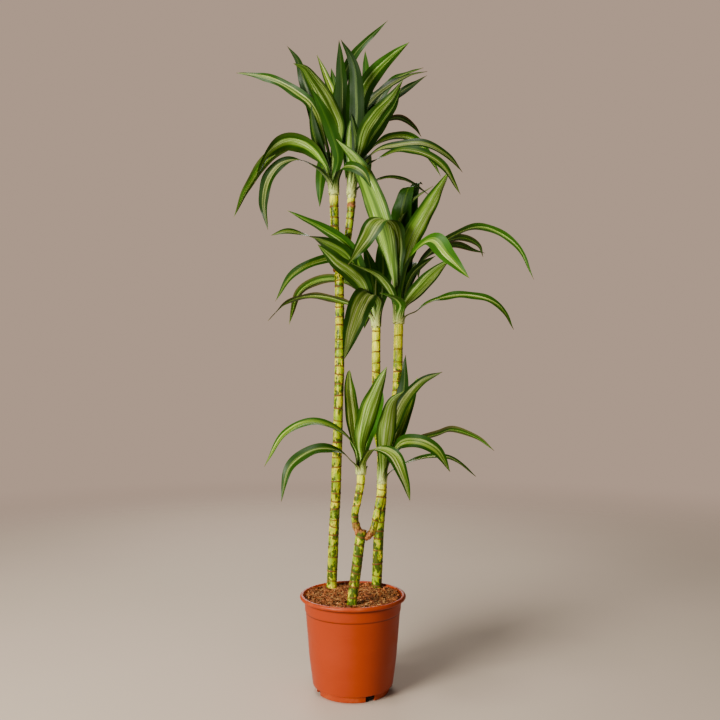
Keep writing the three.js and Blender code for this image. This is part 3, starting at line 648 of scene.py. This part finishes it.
def floor_material():
    g = Graph("floor_pale", Specular_IOR_Level=0.2)
    cloud = g.noise(g.local(0.002, 0.002, 0.002), 1.0, 3.0)
    grain = g.noise(g.local(0.4, 0.4, 0.4), 1.0, 2.0)
    g.set("Base Color", g.mix(cloud, (0.53, 0.43, 0.35), (0.57, 0.465, 0.38)))
    g.set("Roughness", g.span(grain, 0.3, 0.7, 0.7, 0.8))
    x, y, _ = g.parts(g.local(1, 1, 1))
    far = g.math("SQRT", g.add(g.times(x, x), g.times(y, y)))
    g.set("Alpha", g.span(far, 900.0, 3600.0, 1.0, 0.0))
    return g.material


# ------------------------------------------------------------------ pot and soil


def make_pot(material):
    profile = [(0, 0), *POT_OUTSIDE, *POT_INSIDE, (0, POT_FLOOR)]
    points, faces = revolve(rounded(profile, 1.6, 5), 192)
    piece = new_piece("pot_shell", points, faces, "pot", material)
    for angle in NOTCH["angles"]:
        cutter = notch_cutter(math.radians(angle))
        cut = piece.modifiers.new("notch", "BOOLEAN")
        cut.operation, cut.solver, cut.object = "DIFFERENCE", "EXACT", cutter
        apply_modifiers(piece)
        bpy.data.objects.remove(cutter)
    piece.data.shade_smooth()
    piece.data.set_sharp_from_angle(angle=math.radians(38))


def notch_cutter(turn):
    """The box that a drain notch takes out of the foot, at an angle from the front."""
    half, middle = NOTCH["width"] / 2, POT_OUTSIDE[0][0]
    box = [(sx * half, -middle + sy * NOTCH["depth"] / 2, sz * NOTCH["height"])
           for sz in (-1, 1) for sy in (-1, 1) for sx in (-1, 1)]
    box = [(x * math.cos(turn) - y * math.sin(turn), x * math.sin(turn) + y * math.cos(turn), z)
           for x, y, z in box]
    sides = [(0, 2, 3, 1), (4, 5, 7, 6), (0, 1, 5, 4), (2, 6, 7, 3), (0, 4, 6, 2), (1, 3, 7, 5)]
    mesh = bpy.data.meshes.new("notch")
    mesh.from_pydata([tuple(c * MM for c in p) for p in box], [], sides)
    cutter = bpy.data.objects.new("notch", mesh)
    bpy.context.scene.collection.objects.link(cutter)
    return cutter


def apply_modifiers(piece):
    bpy.context.view_layer.update()
    graph = bpy.context.evaluated_depsgraph_get()
    mesh = bpy.data.meshes.new_from_object(piece.evaluated_get(graph))
    old = piece.data
    piece.modifiers.clear()
    piece.data = mesh
    bpy.data.meshes.remove(old)


def soil_height(x, y):
    waves = np.sin(x / 13 + 1.2) * np.cos(y / 17 - 0.6) + 0.5 * np.sin((x + 2 * y) / 15)
    crumbs = np.sin(x / 3.1 + 2 * np.sin(y / 4.3)) * np.sin(y / 2.7 + 2 * np.sin(x / 3.9))
    return SOIL_TOP + (1 - (np.hypot(x, y) / SOIL_EDGE) ** 4) * 2.4 * waves + 0.8 * crumbs


def make_soil(material):
    rng = random.Random(7)
    points, faces = soil_body()
    looks = [(0.5, 0.0, 0.0)] * len(points)
    stems = [shape["stem"][3] for shape in CANES.values()]

    def free_place(reach):
        while True:
            r, a = reach * math.sqrt(rng.random()), rng.uniform(0, 2 * math.pi)
            x, y = r * math.cos(a), r * math.sin(a)
            if all(math.hypot(x - stem[0], y - stem[1]) > CLEAR_OF_CANE for stem in stems):
                return x, y

    def add_bit(bit, tint, kind):
        start = len(points)
        points.extend(bit[0])
        faces.extend(tuple(start + i for i in f) for f in bit[1])
        looks.extend([(tint, kind, 0.0)] * len(bit[0]))

    for _ in range(CHIPS["count"]):
        add_bit(chip(rng, *free_place(CHIPS["reach"])), rng.random() ** 2.6, 0.5)
    for _ in range(FIBRES["count"]):
        add_bit(fibre(rng, *free_place(FIBRES["reach"])), rng.random() ** 1.6, 1.0)
    piece = new_piece("soil_bed", points, faces, "soil", material, 40)
    set_attribute(piece.data, "bit_look", "FLOAT_VECTOR", "POINT", looks)


def soil_body():
    """The soil that fills the pot, with an uneven top."""
    segments, rings = 128, 40
    turn = turns(segments)
    circle = np.stack([np.cos(turn), np.sin(turn)], 1)
    rows = [np.column_stack([circle * r, np.full(segments, z)]) for r, z in SOIL_SIDE]
    for k in range(rings, 0, -1):
        x, y = (circle * (SOIL_EDGE * k / rings)).T
        rows.append(np.column_stack([x, y, soil_height(x, y)]))
    points = [tuple(p) for p in np.concatenate(rows)]
    faces = tube_faces(len(rows), segments)
    foot, top = len(points), len(points) + 1
    points += [(0, 0, SOIL_SIDE[0][1]), (0, 0, float(soil_height(0.0, 0.0)))]
    last = (len(rows) - 1) * segments
    for j in range(segments):
        k = (j + 1) % segments
        faces.append((foot, k, j))
        faces.append((top, last + j, last + k))
    return points, faces


def chip(rng, x, y):
    """An uneven splinter of bark lying on the soil."""
    size = rng.choice(CHIPS["sizes"])
    half = [rng.uniform(*span) * size for span in ((1.5, 4.2), (0.45, 1.1), (0.35, 0.8))]
    turned = tilt(rng, CHIPS["lean"])
    middle = (x, y, float(soil_height(x, y)) + 0.5 * size + heap(x, y))
    verts = []
    for c in ((-1, -1, -1), (1, -1, -1), (1, 1, -1), (-1, 1, -1),
              (-1, -1, 1), (1, -1, 1), (1, 1, 1), (-1, 1, 1)):
        local = np.array([c[k] * half[k] * rng.uniform(0.35, 1.0) for k in range(3)])
        verts.append(tuple(turned @ local + middle))
    return verts, [(0, 3, 2, 1), (4, 5, 6, 7), (0, 1, 5, 4), (1, 2, 6, 5), (2, 3, 7, 6), (3, 0, 4, 7)]


def heap(x, y):
    """How far the loose bits are banked up against the pot's wall."""
    return 2.2 * float(smooth((math.hypot(x, y) - 72) / 18))


def tilt(rng, most):
    """A random turn about the upright, with a lean of up to about most radians."""
    turn, lean, way = rng.uniform(0, 2 * math.pi), rng.gauss(0, most), rng.uniform(0, 2 * math.pi)
    c, s = math.cos(turn), math.sin(turn)
    spin = np.array([[c, -s, 0], [s, c, 0], [0, 0, 1]])
    axis = np.array([math.cos(way), math.sin(way), 0])
    cross = np.array([[0, -axis[2], axis[1]], [axis[2], 0, -axis[0]], [-axis[1], axis[0], 0]])
    lean_by = np.eye(3) + math.sin(lean) * cross + (1 - math.cos(lean)) * cross @ cross
    return lean_by @ spin


def fibre(rng, x, y):
    """A thin bent thread of coir lying on the soil."""
    heading = rng.uniform(0, 2 * math.pi)
    length, thick = rng.uniform(7, 24), rng.uniform(0.22, 0.5)
    bend = rng.uniform(-1.6, 1.6)
    verts, steps, place = [], FIBRES["steps"], np.array([x, y])
    for i in range(steps + 1):
        t = i / steps
        way = heading + bend * t
        ground = float(soil_height(*place)) if np.hypot(*place) < FIBRES["uneven"] else SOIL_TOP
        lift = 1.0 + 2.2 * math.sin(math.pi * t) * rng.random()
        centre = np.array([place[0], place[1], ground + lift + heap(*place)])
        side, up = np.array([-math.sin(way), math.cos(way), 0]), np.array([0, 0, 1])
        r = thick * (1 - 0.6 * t)
        verts += [tuple(centre + r * (math.cos(a) * side + math.sin(a) * up)) for a in (0.5, 2.6, 4.7)]
        place = place + np.array([math.cos(way), math.sin(way)]) * length / steps
        if np.hypot(*place) > FIBRES["farthest"]:
            place *= FIBRES["farthest"] / np.hypot(*place)
    faces = tube_faces(steps + 1, 3) + [(2, 1, 0), tuple(3 * steps + k for k in range(3))]
    return verts, faces


# ------------------------------------------------------------------ canes


STEM_SIDES = 32
COARSE_STEP = 4.5  # mm along a stem, and closer within reach of a scar
FINE_STEP = 0.7
LEAST_STEP = 0.3
SCAR_REACH = 4.2


def scar_places(length, rng):
    """Distances of the leaf scars along a stem, unevenly apart."""
    places, place = [], SCAR_SPACING * rng.uniform(0.5, 0.9)
    while place < length - 6:
        places.append(place)
        place += SCAR_SPACING * rng.uniform(0.72, 1.5)
    return np.array(places)


def stations(length, scars):
    """Distances along a stem where it takes a ring of points: close together at the scars."""
    places = {0.0, length}
    for scar in scars:
        places.update(scar + np.arange(-SCAR_REACH, SCAR_REACH + 0.1, FINE_STEP))
    places.update(np.arange(0, length, COARSE_STEP))
    places = sorted(p for p in places if 0 <= p <= length)
    places = [p for i, p in enumerate(places) if i == 0 or p - places[i - 1] > LEAST_STEP]
    places[-1] = length
    return np.array(places)


def at_scar(place, a, scars, marks, between):
    """How much a point at angle a belongs to a scar, and how far it is raised there."""
    scar = rise = 0.0
    for k in (between - 1, between):
        if 0 <= k < len(scars):
            phase, wobble, relief = marks[k]
            away = place - scars[k] - wobble * math.sin(a + phase) - 0.5 * math.sin(3 * a + phase)
            scar = max(scar, math.exp(-(away / 1.5) ** 2))
            rise = max(rise, relief * math.exp(-((away + 0.2) / 1.3) ** 2))
    return scar, rise


def tube(row, rng, style):
    """One stem or shoot: its points, its faces, and by point its look, its end look and its run.
    The looks are scar, band and age, then cork, cream and collar, and the run goes from 0 to 1
    between two scars."""
    low, high, *route = row
    line = catmull(route)
    length = length_of(line)
    scars = scar_places(length, rng)
    places = stations(length, scars)
    centres = along(line, places)
    forward = unit(np.gradient(centres, places, axis=0))
    right = unit(np.array([1.0, 0, 0]) - forward * forward[:, :1])
    back = np.cross(forward, right)
    bands = [rng.random() for _ in range(len(scars) + 1)]
    marks = [(rng.uniform(0, 6.28), rng.uniform(0.6, 3.4), rng.uniform(0.35, 0.9)) for _ in scars]
    points, looks, ends, runs = [], [], [], []
    fences = np.concatenate([[0.0], scars, [length]])
    for i, place in enumerate(places):
        share, left = place / length, length - place
        between = int(np.searchsorted(scars, place))
        run = (place - fences[between]) / (fences[between + 1] - fences[between])
        age = style["old"][0] + (style["old"][1] - style["old"][0]) * share
        cork = float(smooth(1.4 - place / style["cork"])) if style["cork"] else 0
        if style["cut"]:
            cork = max(cork, float(smooth(1.5 - left / 4)))
        cream = float(smooth(1 - left / style["cream"])) if style["cream"] else 0
        collar = math.exp(-((left - style["collar"]) / 5) ** 4) if style["collar"] else 0
        for a in turns(STEM_SIDES):
            scar, rise = at_scar(place, a, scars, marks, between)
            swell = 0.25 * math.sin(3 * a + 0.05 * place) + 0.2 * math.sin(2 * a - 0.031 * place)
            lump = 0.7 + 0.5 * math.sin(2 * a + 0.35 * place) + 0.4 * math.sin(3 * a - 0.5 * place)
            r = low + (high - low) * share + rise + swell + 0.45 * math.sin(math.pi * run)
            r += (1.3 * cork + 0.8 * collar) * lump
            if style["cut"] and left < 1.2:
                r -= 1.1 - left
            points.append(centres[i] + r * (math.cos(a) * right[i] + math.sin(a) * back[i]))
            looks.append((scar, bands[between], age))
            ends.append((cork, cream, collar))
            runs.append(run)
    last = (len(places) - 1) * STEM_SIDES
    caps = [tuple(range(STEM_SIDES - 1, -1, -1)), tuple(last + j for j in range(STEM_SIDES))]
    return points, tube_faces(len(places), STEM_SIDES) + caps, looks, ends, runs


def look_of(old, cut=False, cream=0, cork=0, collar=0):
    """How a stem looks: old is how mottled its lower and upper ends are, and cut says that its upper
    end is sawn off. The rest are in mm: cream is how far below its upper end it is pale, cork how far
    its base is corky, and collar how far a brown collar lies below its upper end."""
    return {"old": old, "cut": cut, "cream": cream, "cork": cork, "collar": collar}


# The looks of each cane's stem and of its two shoots.
STYLES = {
    "cane_tall": (look_of((0.4, 0.1)), look_of((0.1, 0.4), cream=26, cork=14),
                  look_of((0.2, 0.5), cream=22, cork=14, collar=14)),
    "cane_middle": (look_of((0.75, 0.15), cut=True), look_of((0.2, 0.0), cream=120, cork=16),
                    look_of((0.2, 0.0), cream=90, cork=16)),
    "cane_short": (look_of((1.0, 1.0), cut=True), look_of((0.45, 0.2), cream=36, cork=26),
                   look_of((0.45, 0.1), cream=40, cork=24)),
}


def make_cane(name, material):
    rng = random.Random(name)
    shape = CANES[name]
    points, faces, *looks = [], [], [], [], []
    for row, style in zip((shape["stem"], *shape["shoots"]), STYLES[name]):
        new_points, new_faces, *new_looks = tube(row, rng, style)
        faces += [tuple(len(points) + i for i in f) for f in new_faces]
        points += new_points
        for kept, new in zip(looks, new_looks):
            kept += new
    mesh = new_piece(name + "_bark", points, faces, name, material, 50).data
    set_attribute(mesh, "cane_look", "FLOAT_VECTOR", "POINT", looks[0])
    set_attribute(mesh, "cane_end", "FLOAT_VECTOR", "POINT", looks[1])
    set_attribute(mesh, "cane_run", "FLOAT", "POINT", looks[2])


# ------------------------------------------------------------------ leaves

ACROSS = 12  # faces across a blade
STEP = 5.0  # mm along a blade
WIDEST = 0.45  # share of a blade's length at its widest
TAPER = 2.2  # the higher it is, the fuller the outer half of a leaf
ROLLED = 0.45  # share of a blade's length at which its roll is full and its twist starts
MAP_GAP = 3.0  # mm between the strips on the bake map
# The rolled young leaves in the middle of a head: heights, and radii as shares of the stem's.
CORE = ((0, 21, 52, 89, 105), (1.0, 1.1, 0.78, 0.4, 0.08))
CORE_HEIGHT = CORE[0][-1]
CORE_LOOK = (0.37, 0.6, 0.0, 0.0, 1.0)
# The base of a leaf, wrapped about the stem: how far it clasps it fully, how much farther it lets
# go, how far round it reaches on each side in radians, how far off the stem the inmost leaf lies and
# the outmost one more, and how far its margins droop.
CLASP = {"plain": 5, "reach": 34, "turn": 1.35, "gap": 0.35, "loose": 1.2, "droop": 5}
LEAST_RISE, MOST_RISE = 6, 62  # heights at which the lowest and the topmost leaves leave the stem


def half_width(t):
    """Half a blade's width at shares of its length, as a share of its widest."""
    out = np.clip((t - WIDEST) / (1 - WIDEST), 0, 1)
    inner = 0.40 + 0.60 * smooth(t / WIDEST)
    return 0.5 * np.where(t < WIDEST, inner, np.maximum(1 - out**TAPER, 0.012))


def leaf_sheets(row, radius, rng):
    """The upper and under points of one leaf by station and place across, its places across and
    along, and its length."""
    _, width, roll, twist, *points = row
    tip = np.array(points[-1], float)
    heading = math.atan2(tip[1], tip[0])
    rise = min(max(0.5 * points[0][2], LEAST_RISE), MOST_RISE)
    root = (math.cos(heading) * 0.55 * radius, math.sin(heading) * 0.55 * radius, rise)
    line = catmull([root, *points])
    length = length_of(line)
    count = max(24, round(length / STEP))
    t = np.linspace(0, 1, count + 1)
    middle = along(line, t * length)
    forward = unit(np.gradient(middle, axis=0))
    level = np.array([-math.sin(heading), math.cos(heading), 0.0])
    side = unit(level - forward * (forward @ level)[:, None])
    turn = -(math.radians(roll) * smooth(t / ROLLED)
             + math.radians(twist) * smooth((t - ROLLED) / (1 - ROLLED)))[:, None]
    side = side * np.cos(turn) + np.cross(forward, side) * np.sin(turn)
    up = np.cross(forward, side)
    s = np.linspace(-1, 1, ACROSS + 1)
    half = width * half_width(t)[:, None]
    fold = np.radians(9 + 33 * np.clip(1 - t / 0.3, 0, 1) ** 2)[:, None]
    bent = np.sqrt(s**2 + 0.03) - math.sqrt(0.03)
    out = half * s * np.cos(fold)
    height = half * bent * np.sin(fold)
    # the margins wave a little, each to its own beat
    calm = (smooth(t / 0.25) * smooth((1 - t) / 0.12))[:, None]
    for way in (-1, 1):
        beat, phase = rng.uniform(48, 95), rng.uniform(0, 6.28)
        size = rng.uniform(0.5, 1.7) * width / 32
        wave = np.sin(2 * np.pi * t * length / beat + phase)[:, None]
        height = height + calm * size * wave * np.clip(way * s, 0, 1) ** 2
    # long shallow ribs
    height = height + 0.18 * calm * np.cos(s * 9.0 + rng.uniform(0, 6.28)) * (1 - s**2)
    top = middle[:, None] + side[:, None] * out[..., None] + up[:, None] * height[..., None]
    thick = (0.35 + 0.5 * (1 - np.abs(s)) + 0.5 * np.clip(1 - t / 0.2, 0, 1)[:, None]) * (1 - s**4)
    bottom = top - up[:, None] * thick[..., None]
    hold = (1 - smooth((t * length - CLASP["plain"]) / CLASP["reach"]))[:, None, None]
    inner, outer = clasp(s, t * length, thick, heading, rise, radius)
    top = top * (1 - hold) + inner * hold
    bottom = bottom * (1 - hold) + outer * hold
    return top, bottom, s, t, length


def clasp(s, far, thick, heading, rise, radius):
    """The base of a leaf wrapped about the stem, as its inner and outer points."""
    height = 0.25 * rise + 0.9 * far
    width = CLASP["turn"] * (1 - 0.35 * smooth(far / CLASP["reach"]))
    turn = heading + s[None, :] * width[:, None]
    loose = CLASP["loose"] * (MOST_RISE - rise) / MOST_RISE
    reach = radius * np.interp(height, *CORE) + CLASP["gap"] + 0.035 * far + loose
    z = np.maximum(height[:, None] - CLASP["droop"] * (np.abs(s) ** 2)[None, :], 0.8)
    sheets = []
    for extra in (0 * thick, thick):
        r = reach[:, None] + extra
        sheets.append(np.stack([r * np.cos(turn), r * np.sin(turn), z], -1))
    return sheets


def shelf_pack(sizes):
    """Places of strips on a square sheet: offsets, and the sheet's side."""
    side = math.sqrt(sum((w + MAP_GAP) * (h + MAP_GAP) for w, h in sizes) * 1.15)
    offsets = [None] * len(sizes)
    x = y = row = 0.0
    for i in sorted(range(len(sizes)), key=lambda i: -sizes[i][1]):
        w, h = sizes[i]
        if x + w + MAP_GAP > side:
            x, y, row = 0.0, y + row, 0.0
        offsets[i] = (x + MAP_GAP / 2, y + MAP_GAP / 2)
        x += w + MAP_GAP
        row = max(row, h + MAP_GAP)
    return offsets, max(side, y + row)


def look_of_leaf(head, leaf, turn):
    """How pale, how brown below and how light a leaf is, that lightness partly painted light and shade.
    turn is how pale it is where none is set.
    """
    look = LOOKS[head].get(leaf, ())
    pale, tone_and_painted_light, rust = (*look, *(turn, "plain", SLIGHT_RUST)[len(look):])
    return pale, rust, TONES_AND_PAINTED_LIGHT[tone_and_painted_light]


class HeadMesh:
    """A head's points and faces. Each point has its place on a leaf, and each face its look and the
    places of its corners on the bake map."""

    def __init__(self, sheet):
        self.sheet = sheet
        self.points, self.places = [], []
        self.faces, self.corners, self.looks = [], [], []
        self.margins = []

    def add_points(self, grid, places):
        """Adds a grid of points and gives the grid of their numbers."""
        start = len(self.points)
        self.points += list(grid.reshape(-1, 3))
        self.places += places
        return start + np.arange(grid.shape[0] * grid.shape[1]).reshape(grid.shape[:2])

    def add_face(self, numbers, corners, look):
        """Adds a face, with its corners' places on the bake map in mm."""
        self.faces.append(tuple(int(n) for n in numbers))
        self.corners += [(x / self.sheet, y / self.sheet) for x, y in corners]
        self.looks.append(look)

    def build(self, name, crown, material):
        points = np.array(self.points) + np.array(crown, float)
        piece = new_piece(name.replace("head", "leaves"), points, self.faces, name, material)
        mesh, looks = piece.data, np.array(self.looks)
        set_attribute(mesh, "leaf_place", "FLOAT_VECTOR", "POINT", self.places)
        set_attribute(mesh, "leaf_look", "FLOAT_VECTOR", "FACE", looks[:, :3])
        set_attribute(mesh, "leaf_rust", "FLOAT", "FACE", looks[:, 3])
        # lightness by face, partly painted light and shade
        set_attribute(mesh, "leaf_tone_and_painted_light", "FLOAT", "FACE", looks[:, 4])
        bake_map = mesh.uv_layers.new(name="OFBake")
        bake_map.data.foreach_set("uv", np.array(self.corners, np.float32).ravel())
        sharp = {tuple(sorted(edge)) for edge in self.margins}
        flags = [tuple(sorted(edge.vertices)) in sharp for edge in mesh.edges]
        mesh.attributes.new("sharp_edge", "BOOLEAN", "EDGE").data.foreach_set("value", flags)


def make_head(name, material):
    rng = random.Random(name)
    crown, radius = HEADS[name]
    leaves, strips = [], []
    for row in LEAVES[name]:
        sheets = leaf_sheets(row, radius, rng)
        pale, rust, tone_and_painted_light = look_of_leaf(name, row[0], rng.uniform(0.15, 0.6))
        seed = rng.random()
        looks = [(seed, pale, under, rust, tone_and_painted_light) for under in (0.0, 1.0)]
        leaves.append((sheets, row[1], looks))
        strips += [(row[1], sheets[-1])] * 2
    strips.append((2 * math.pi * radius, CORE_HEIGHT))
    offsets, sheet = shelf_pack(strips)
    head = HeadMesh(sheet)
    for n, leaf in enumerate(leaves):
        add_blade(head, *leaf, offsets[2 * n:2 * n + 2])
    add_core(head, radius, strips[-1][0], offsets[-1])
    head.build(name, crown, material)


def add_blade(head, sheets, width, looks, spots):
    """One leaf: its upper and under sides, which meet at the margins, and its ends."""
    top, bottom, s, t, length = sheets
    count, wide = len(t), len(s)
    upper = head.add_points(top, [(v, u, u * length) for u in t for v in s])
    inner = head.add_points(bottom[:, 1:-1], [(v, u, u * length) for u in t for v in s[1:-1]])
    lower = np.concatenate([upper[:, :1], inner, upper[:, -1:]], 1)
    head.margins += [(int(upper[i, j]), int(upper[i + 1, j]))
                     for j in (0, wide - 1) for i in range(count - 1)]
    for grid, look, (x0, y0) in zip((upper, lower), looks, spots):
        xs, ys = x0 + (s + 1) / 2 * width, y0 + t * length
        for i in range(count - 1):
            for j in range(wide - 1):
                quad = [(i, j), (i + 1, j), (i + 1, j + 1), (i, j + 1)]
                if grid is lower:
                    quad.reverse()
                head.add_face([grid[q] for q in quad], [(xs[b], ys[a]) for a, b in quad], look)
    x0, y0 = spots[0]
    for i, nudge in ((0, -1.0), (count - 1, 1.0)):
        y = y0 + t[i] * length
        for j in range(wide - 1):
            ring = [(upper[i, j], j, y), (upper[i, j + 1], j + 1, y),
                    (lower[i, j + 1], j + 1, y + nudge), (lower[i, j], j, y + nudge)]
            # at a margin the two sides share a point
            kept = [p for k, p in enumerate(ring) if p[0] not in [q[0] for q in ring[:k]]]
            if i:
                kept.reverse()
            head.add_face([p[0] for p in kept],
                          [(x0 + (s[p[1]] + 1) / 2 * width, p[2]) for p in kept], looks[0])


def add_core(head, radius, girth, spot):
    """The rolled young leaves in the middle of a head, closed at both ends."""
    core = core_points(radius)
    rows, sides = core.shape[:2]
    grid = head.add_points(core, [(2 * j / sides - 1, 0.25 * i / rows, CORE_HEIGHT * i / rows)
                                  for i in range(rows) for j in range(sides)])
    for i in range(rows - 1):
        for j in range(sides):
            ring = [(i, j), (i, j + 1), (i + 1, j + 1), (i + 1, j)]
            head.add_face([grid[a, b % sides] for a, b in ring],
                          [(spot[0] + b / sides * girth, spot[1] + a / (rows - 1) * CORE_HEIGHT)
                           for a, b in ring], CORE_LOOK)
    for row, order in ((0, range(sides - 1, -1, -1)), (rows - 1, range(sides))):
        disc = [(spot[0] + 2 + 1.5 * math.cos(2 * math.pi * j / sides),
                 spot[1] + 2 + 1.5 * math.sin(2 * math.pi * j / sides)) for j in order]
        head.add_face([grid[row, j] for j in order], disc, CORE_LOOK)


def core_points(radius):
    """Rings of points up the core, which overlaps itself in a slow turn."""
    sides, rows = 24, 28
    rings = np.zeros((rows, sides, 3))
    for i in range(rows):
        share = i / (rows - 1)
        z = 0.3 + (CORE_HEIGHT - 1) * share
        r = radius * np.interp(z, *CORE)
        for j, a in enumerate(turns(sides)):
            overlap = 0.08 * ((a / (2 * math.pi) + 0.6 * share) % 1.0) * radius
            rings[i, j] = ((r - overlap) * math.cos(a), (r - overlap) * math.sin(a), z)
    return rings


# ------------------------------------------------------------------ the studio


FLOOR_RADIUS = 4.0


def look_at(thing, target):
    way = Vector(target) - thing.location
    thing.rotation_euler = way.to_track_quat("-Z", "Y").to_euler()


def make_camera():
    """The photograph's viewing angle: level, and shifted up a little."""
    data = bpy.data.cameras.new("camera")
    data.sensor_width = 36
    data.lens = 39
    data.shift_y = 24 / 720
    data.clip_end = 100
    camera = bpy.data.objects.new("camera", data)
    camera.location = (0.014, -1.55, 0.606)
    camera.rotation_euler = (math.radians(90), 0, 0)
    bpy.context.scene.collection.objects.link(camera)
    bpy.context.scene.camera = camera


def make_light(name, place, target, size, power, colour):
    data = bpy.data.lights.new(name, "AREA")
    data.shape = "DISK"
    data.size = size
    data.energy = power
    data.color = colour
    light = bpy.data.objects.new(name, data)
    light.location = place
    bpy.context.scene.collection.objects.link(light)
    look_at(light, target)


def make_world(seen, ambient):
    """The colour behind everything, and the softer light that it gives."""
    world = bpy.data.worlds.new("studio")
    world.use_nodes = True
    tree = world.node_tree
    glow = tree.nodes["Background"]
    glow.inputs["Color"].default_value = (*ambient, 1)
    behind = tree.nodes.new("ShaderNodeBackground")
    behind.inputs["Color"].default_value = (*seen, 1)
    path = tree.nodes.new("ShaderNodeLightPath")
    choice = tree.nodes.new("ShaderNodeMixShader")
    tree.links.new(path.outputs["Is Camera Ray"], choice.inputs[0])
    tree.links.new(glow.outputs[0], choice.inputs[1])
    tree.links.new(behind.outputs[0], choice.inputs[2])
    tree.links.new(choice.outputs[0], tree.nodes["World Output"].inputs[0])
    bpy.context.scene.world = world


def make_studio():
    make_light("key", (-1.85, -1.9, 1.0), (0.0, 0.0, 0.5), 1.2, 160, (1.0, 0.95, 0.84))
    make_light("top", (-0.5, -0.6, 2.9), (0.0, 0.0, 0.6), 0.8, 42, (1.0, 0.95, 0.87))
    make_light("fill", (1.8, -1.6, 0.9), (0.0, 0.0, 0.6), 1.6, 4, (1.0, 0.96, 0.92))
    make_light("back", (-0.5, 2.5, 1.7), (0.0, 0.0, 0.6), 1.8, 38, (1.0, 0.95, 0.88))
    make_world((0.50, 0.36, 0.275), (0.080, 0.075, 0.070))
    ring = [(FLOOR_RADIUS * math.cos(a), FLOOR_RADIUS * math.sin(a), 0) for a in turns(96)]
    mesh = bpy.data.meshes.new("floor")
    mesh.from_pydata(ring, [], [tuple(range(len(ring)))])
    mesh.materials.append(floor_material())
    floor = bpy.data.objects.new("floor", mesh)
    floor.location = (0, 0, -0.0002)
    bpy.context.scene.collection.objects.link(floor)


# ------------------------------------------------------------------ assembly

make_camera()
make_studio()
make_pot(pot_material())
make_soil(soil_material())
bark = cane_material()
for cane_name in CANES:
    make_cane(cane_name, bark)
green = leaf_material()
for head_name in HEADS:
    make_head(head_name, green)
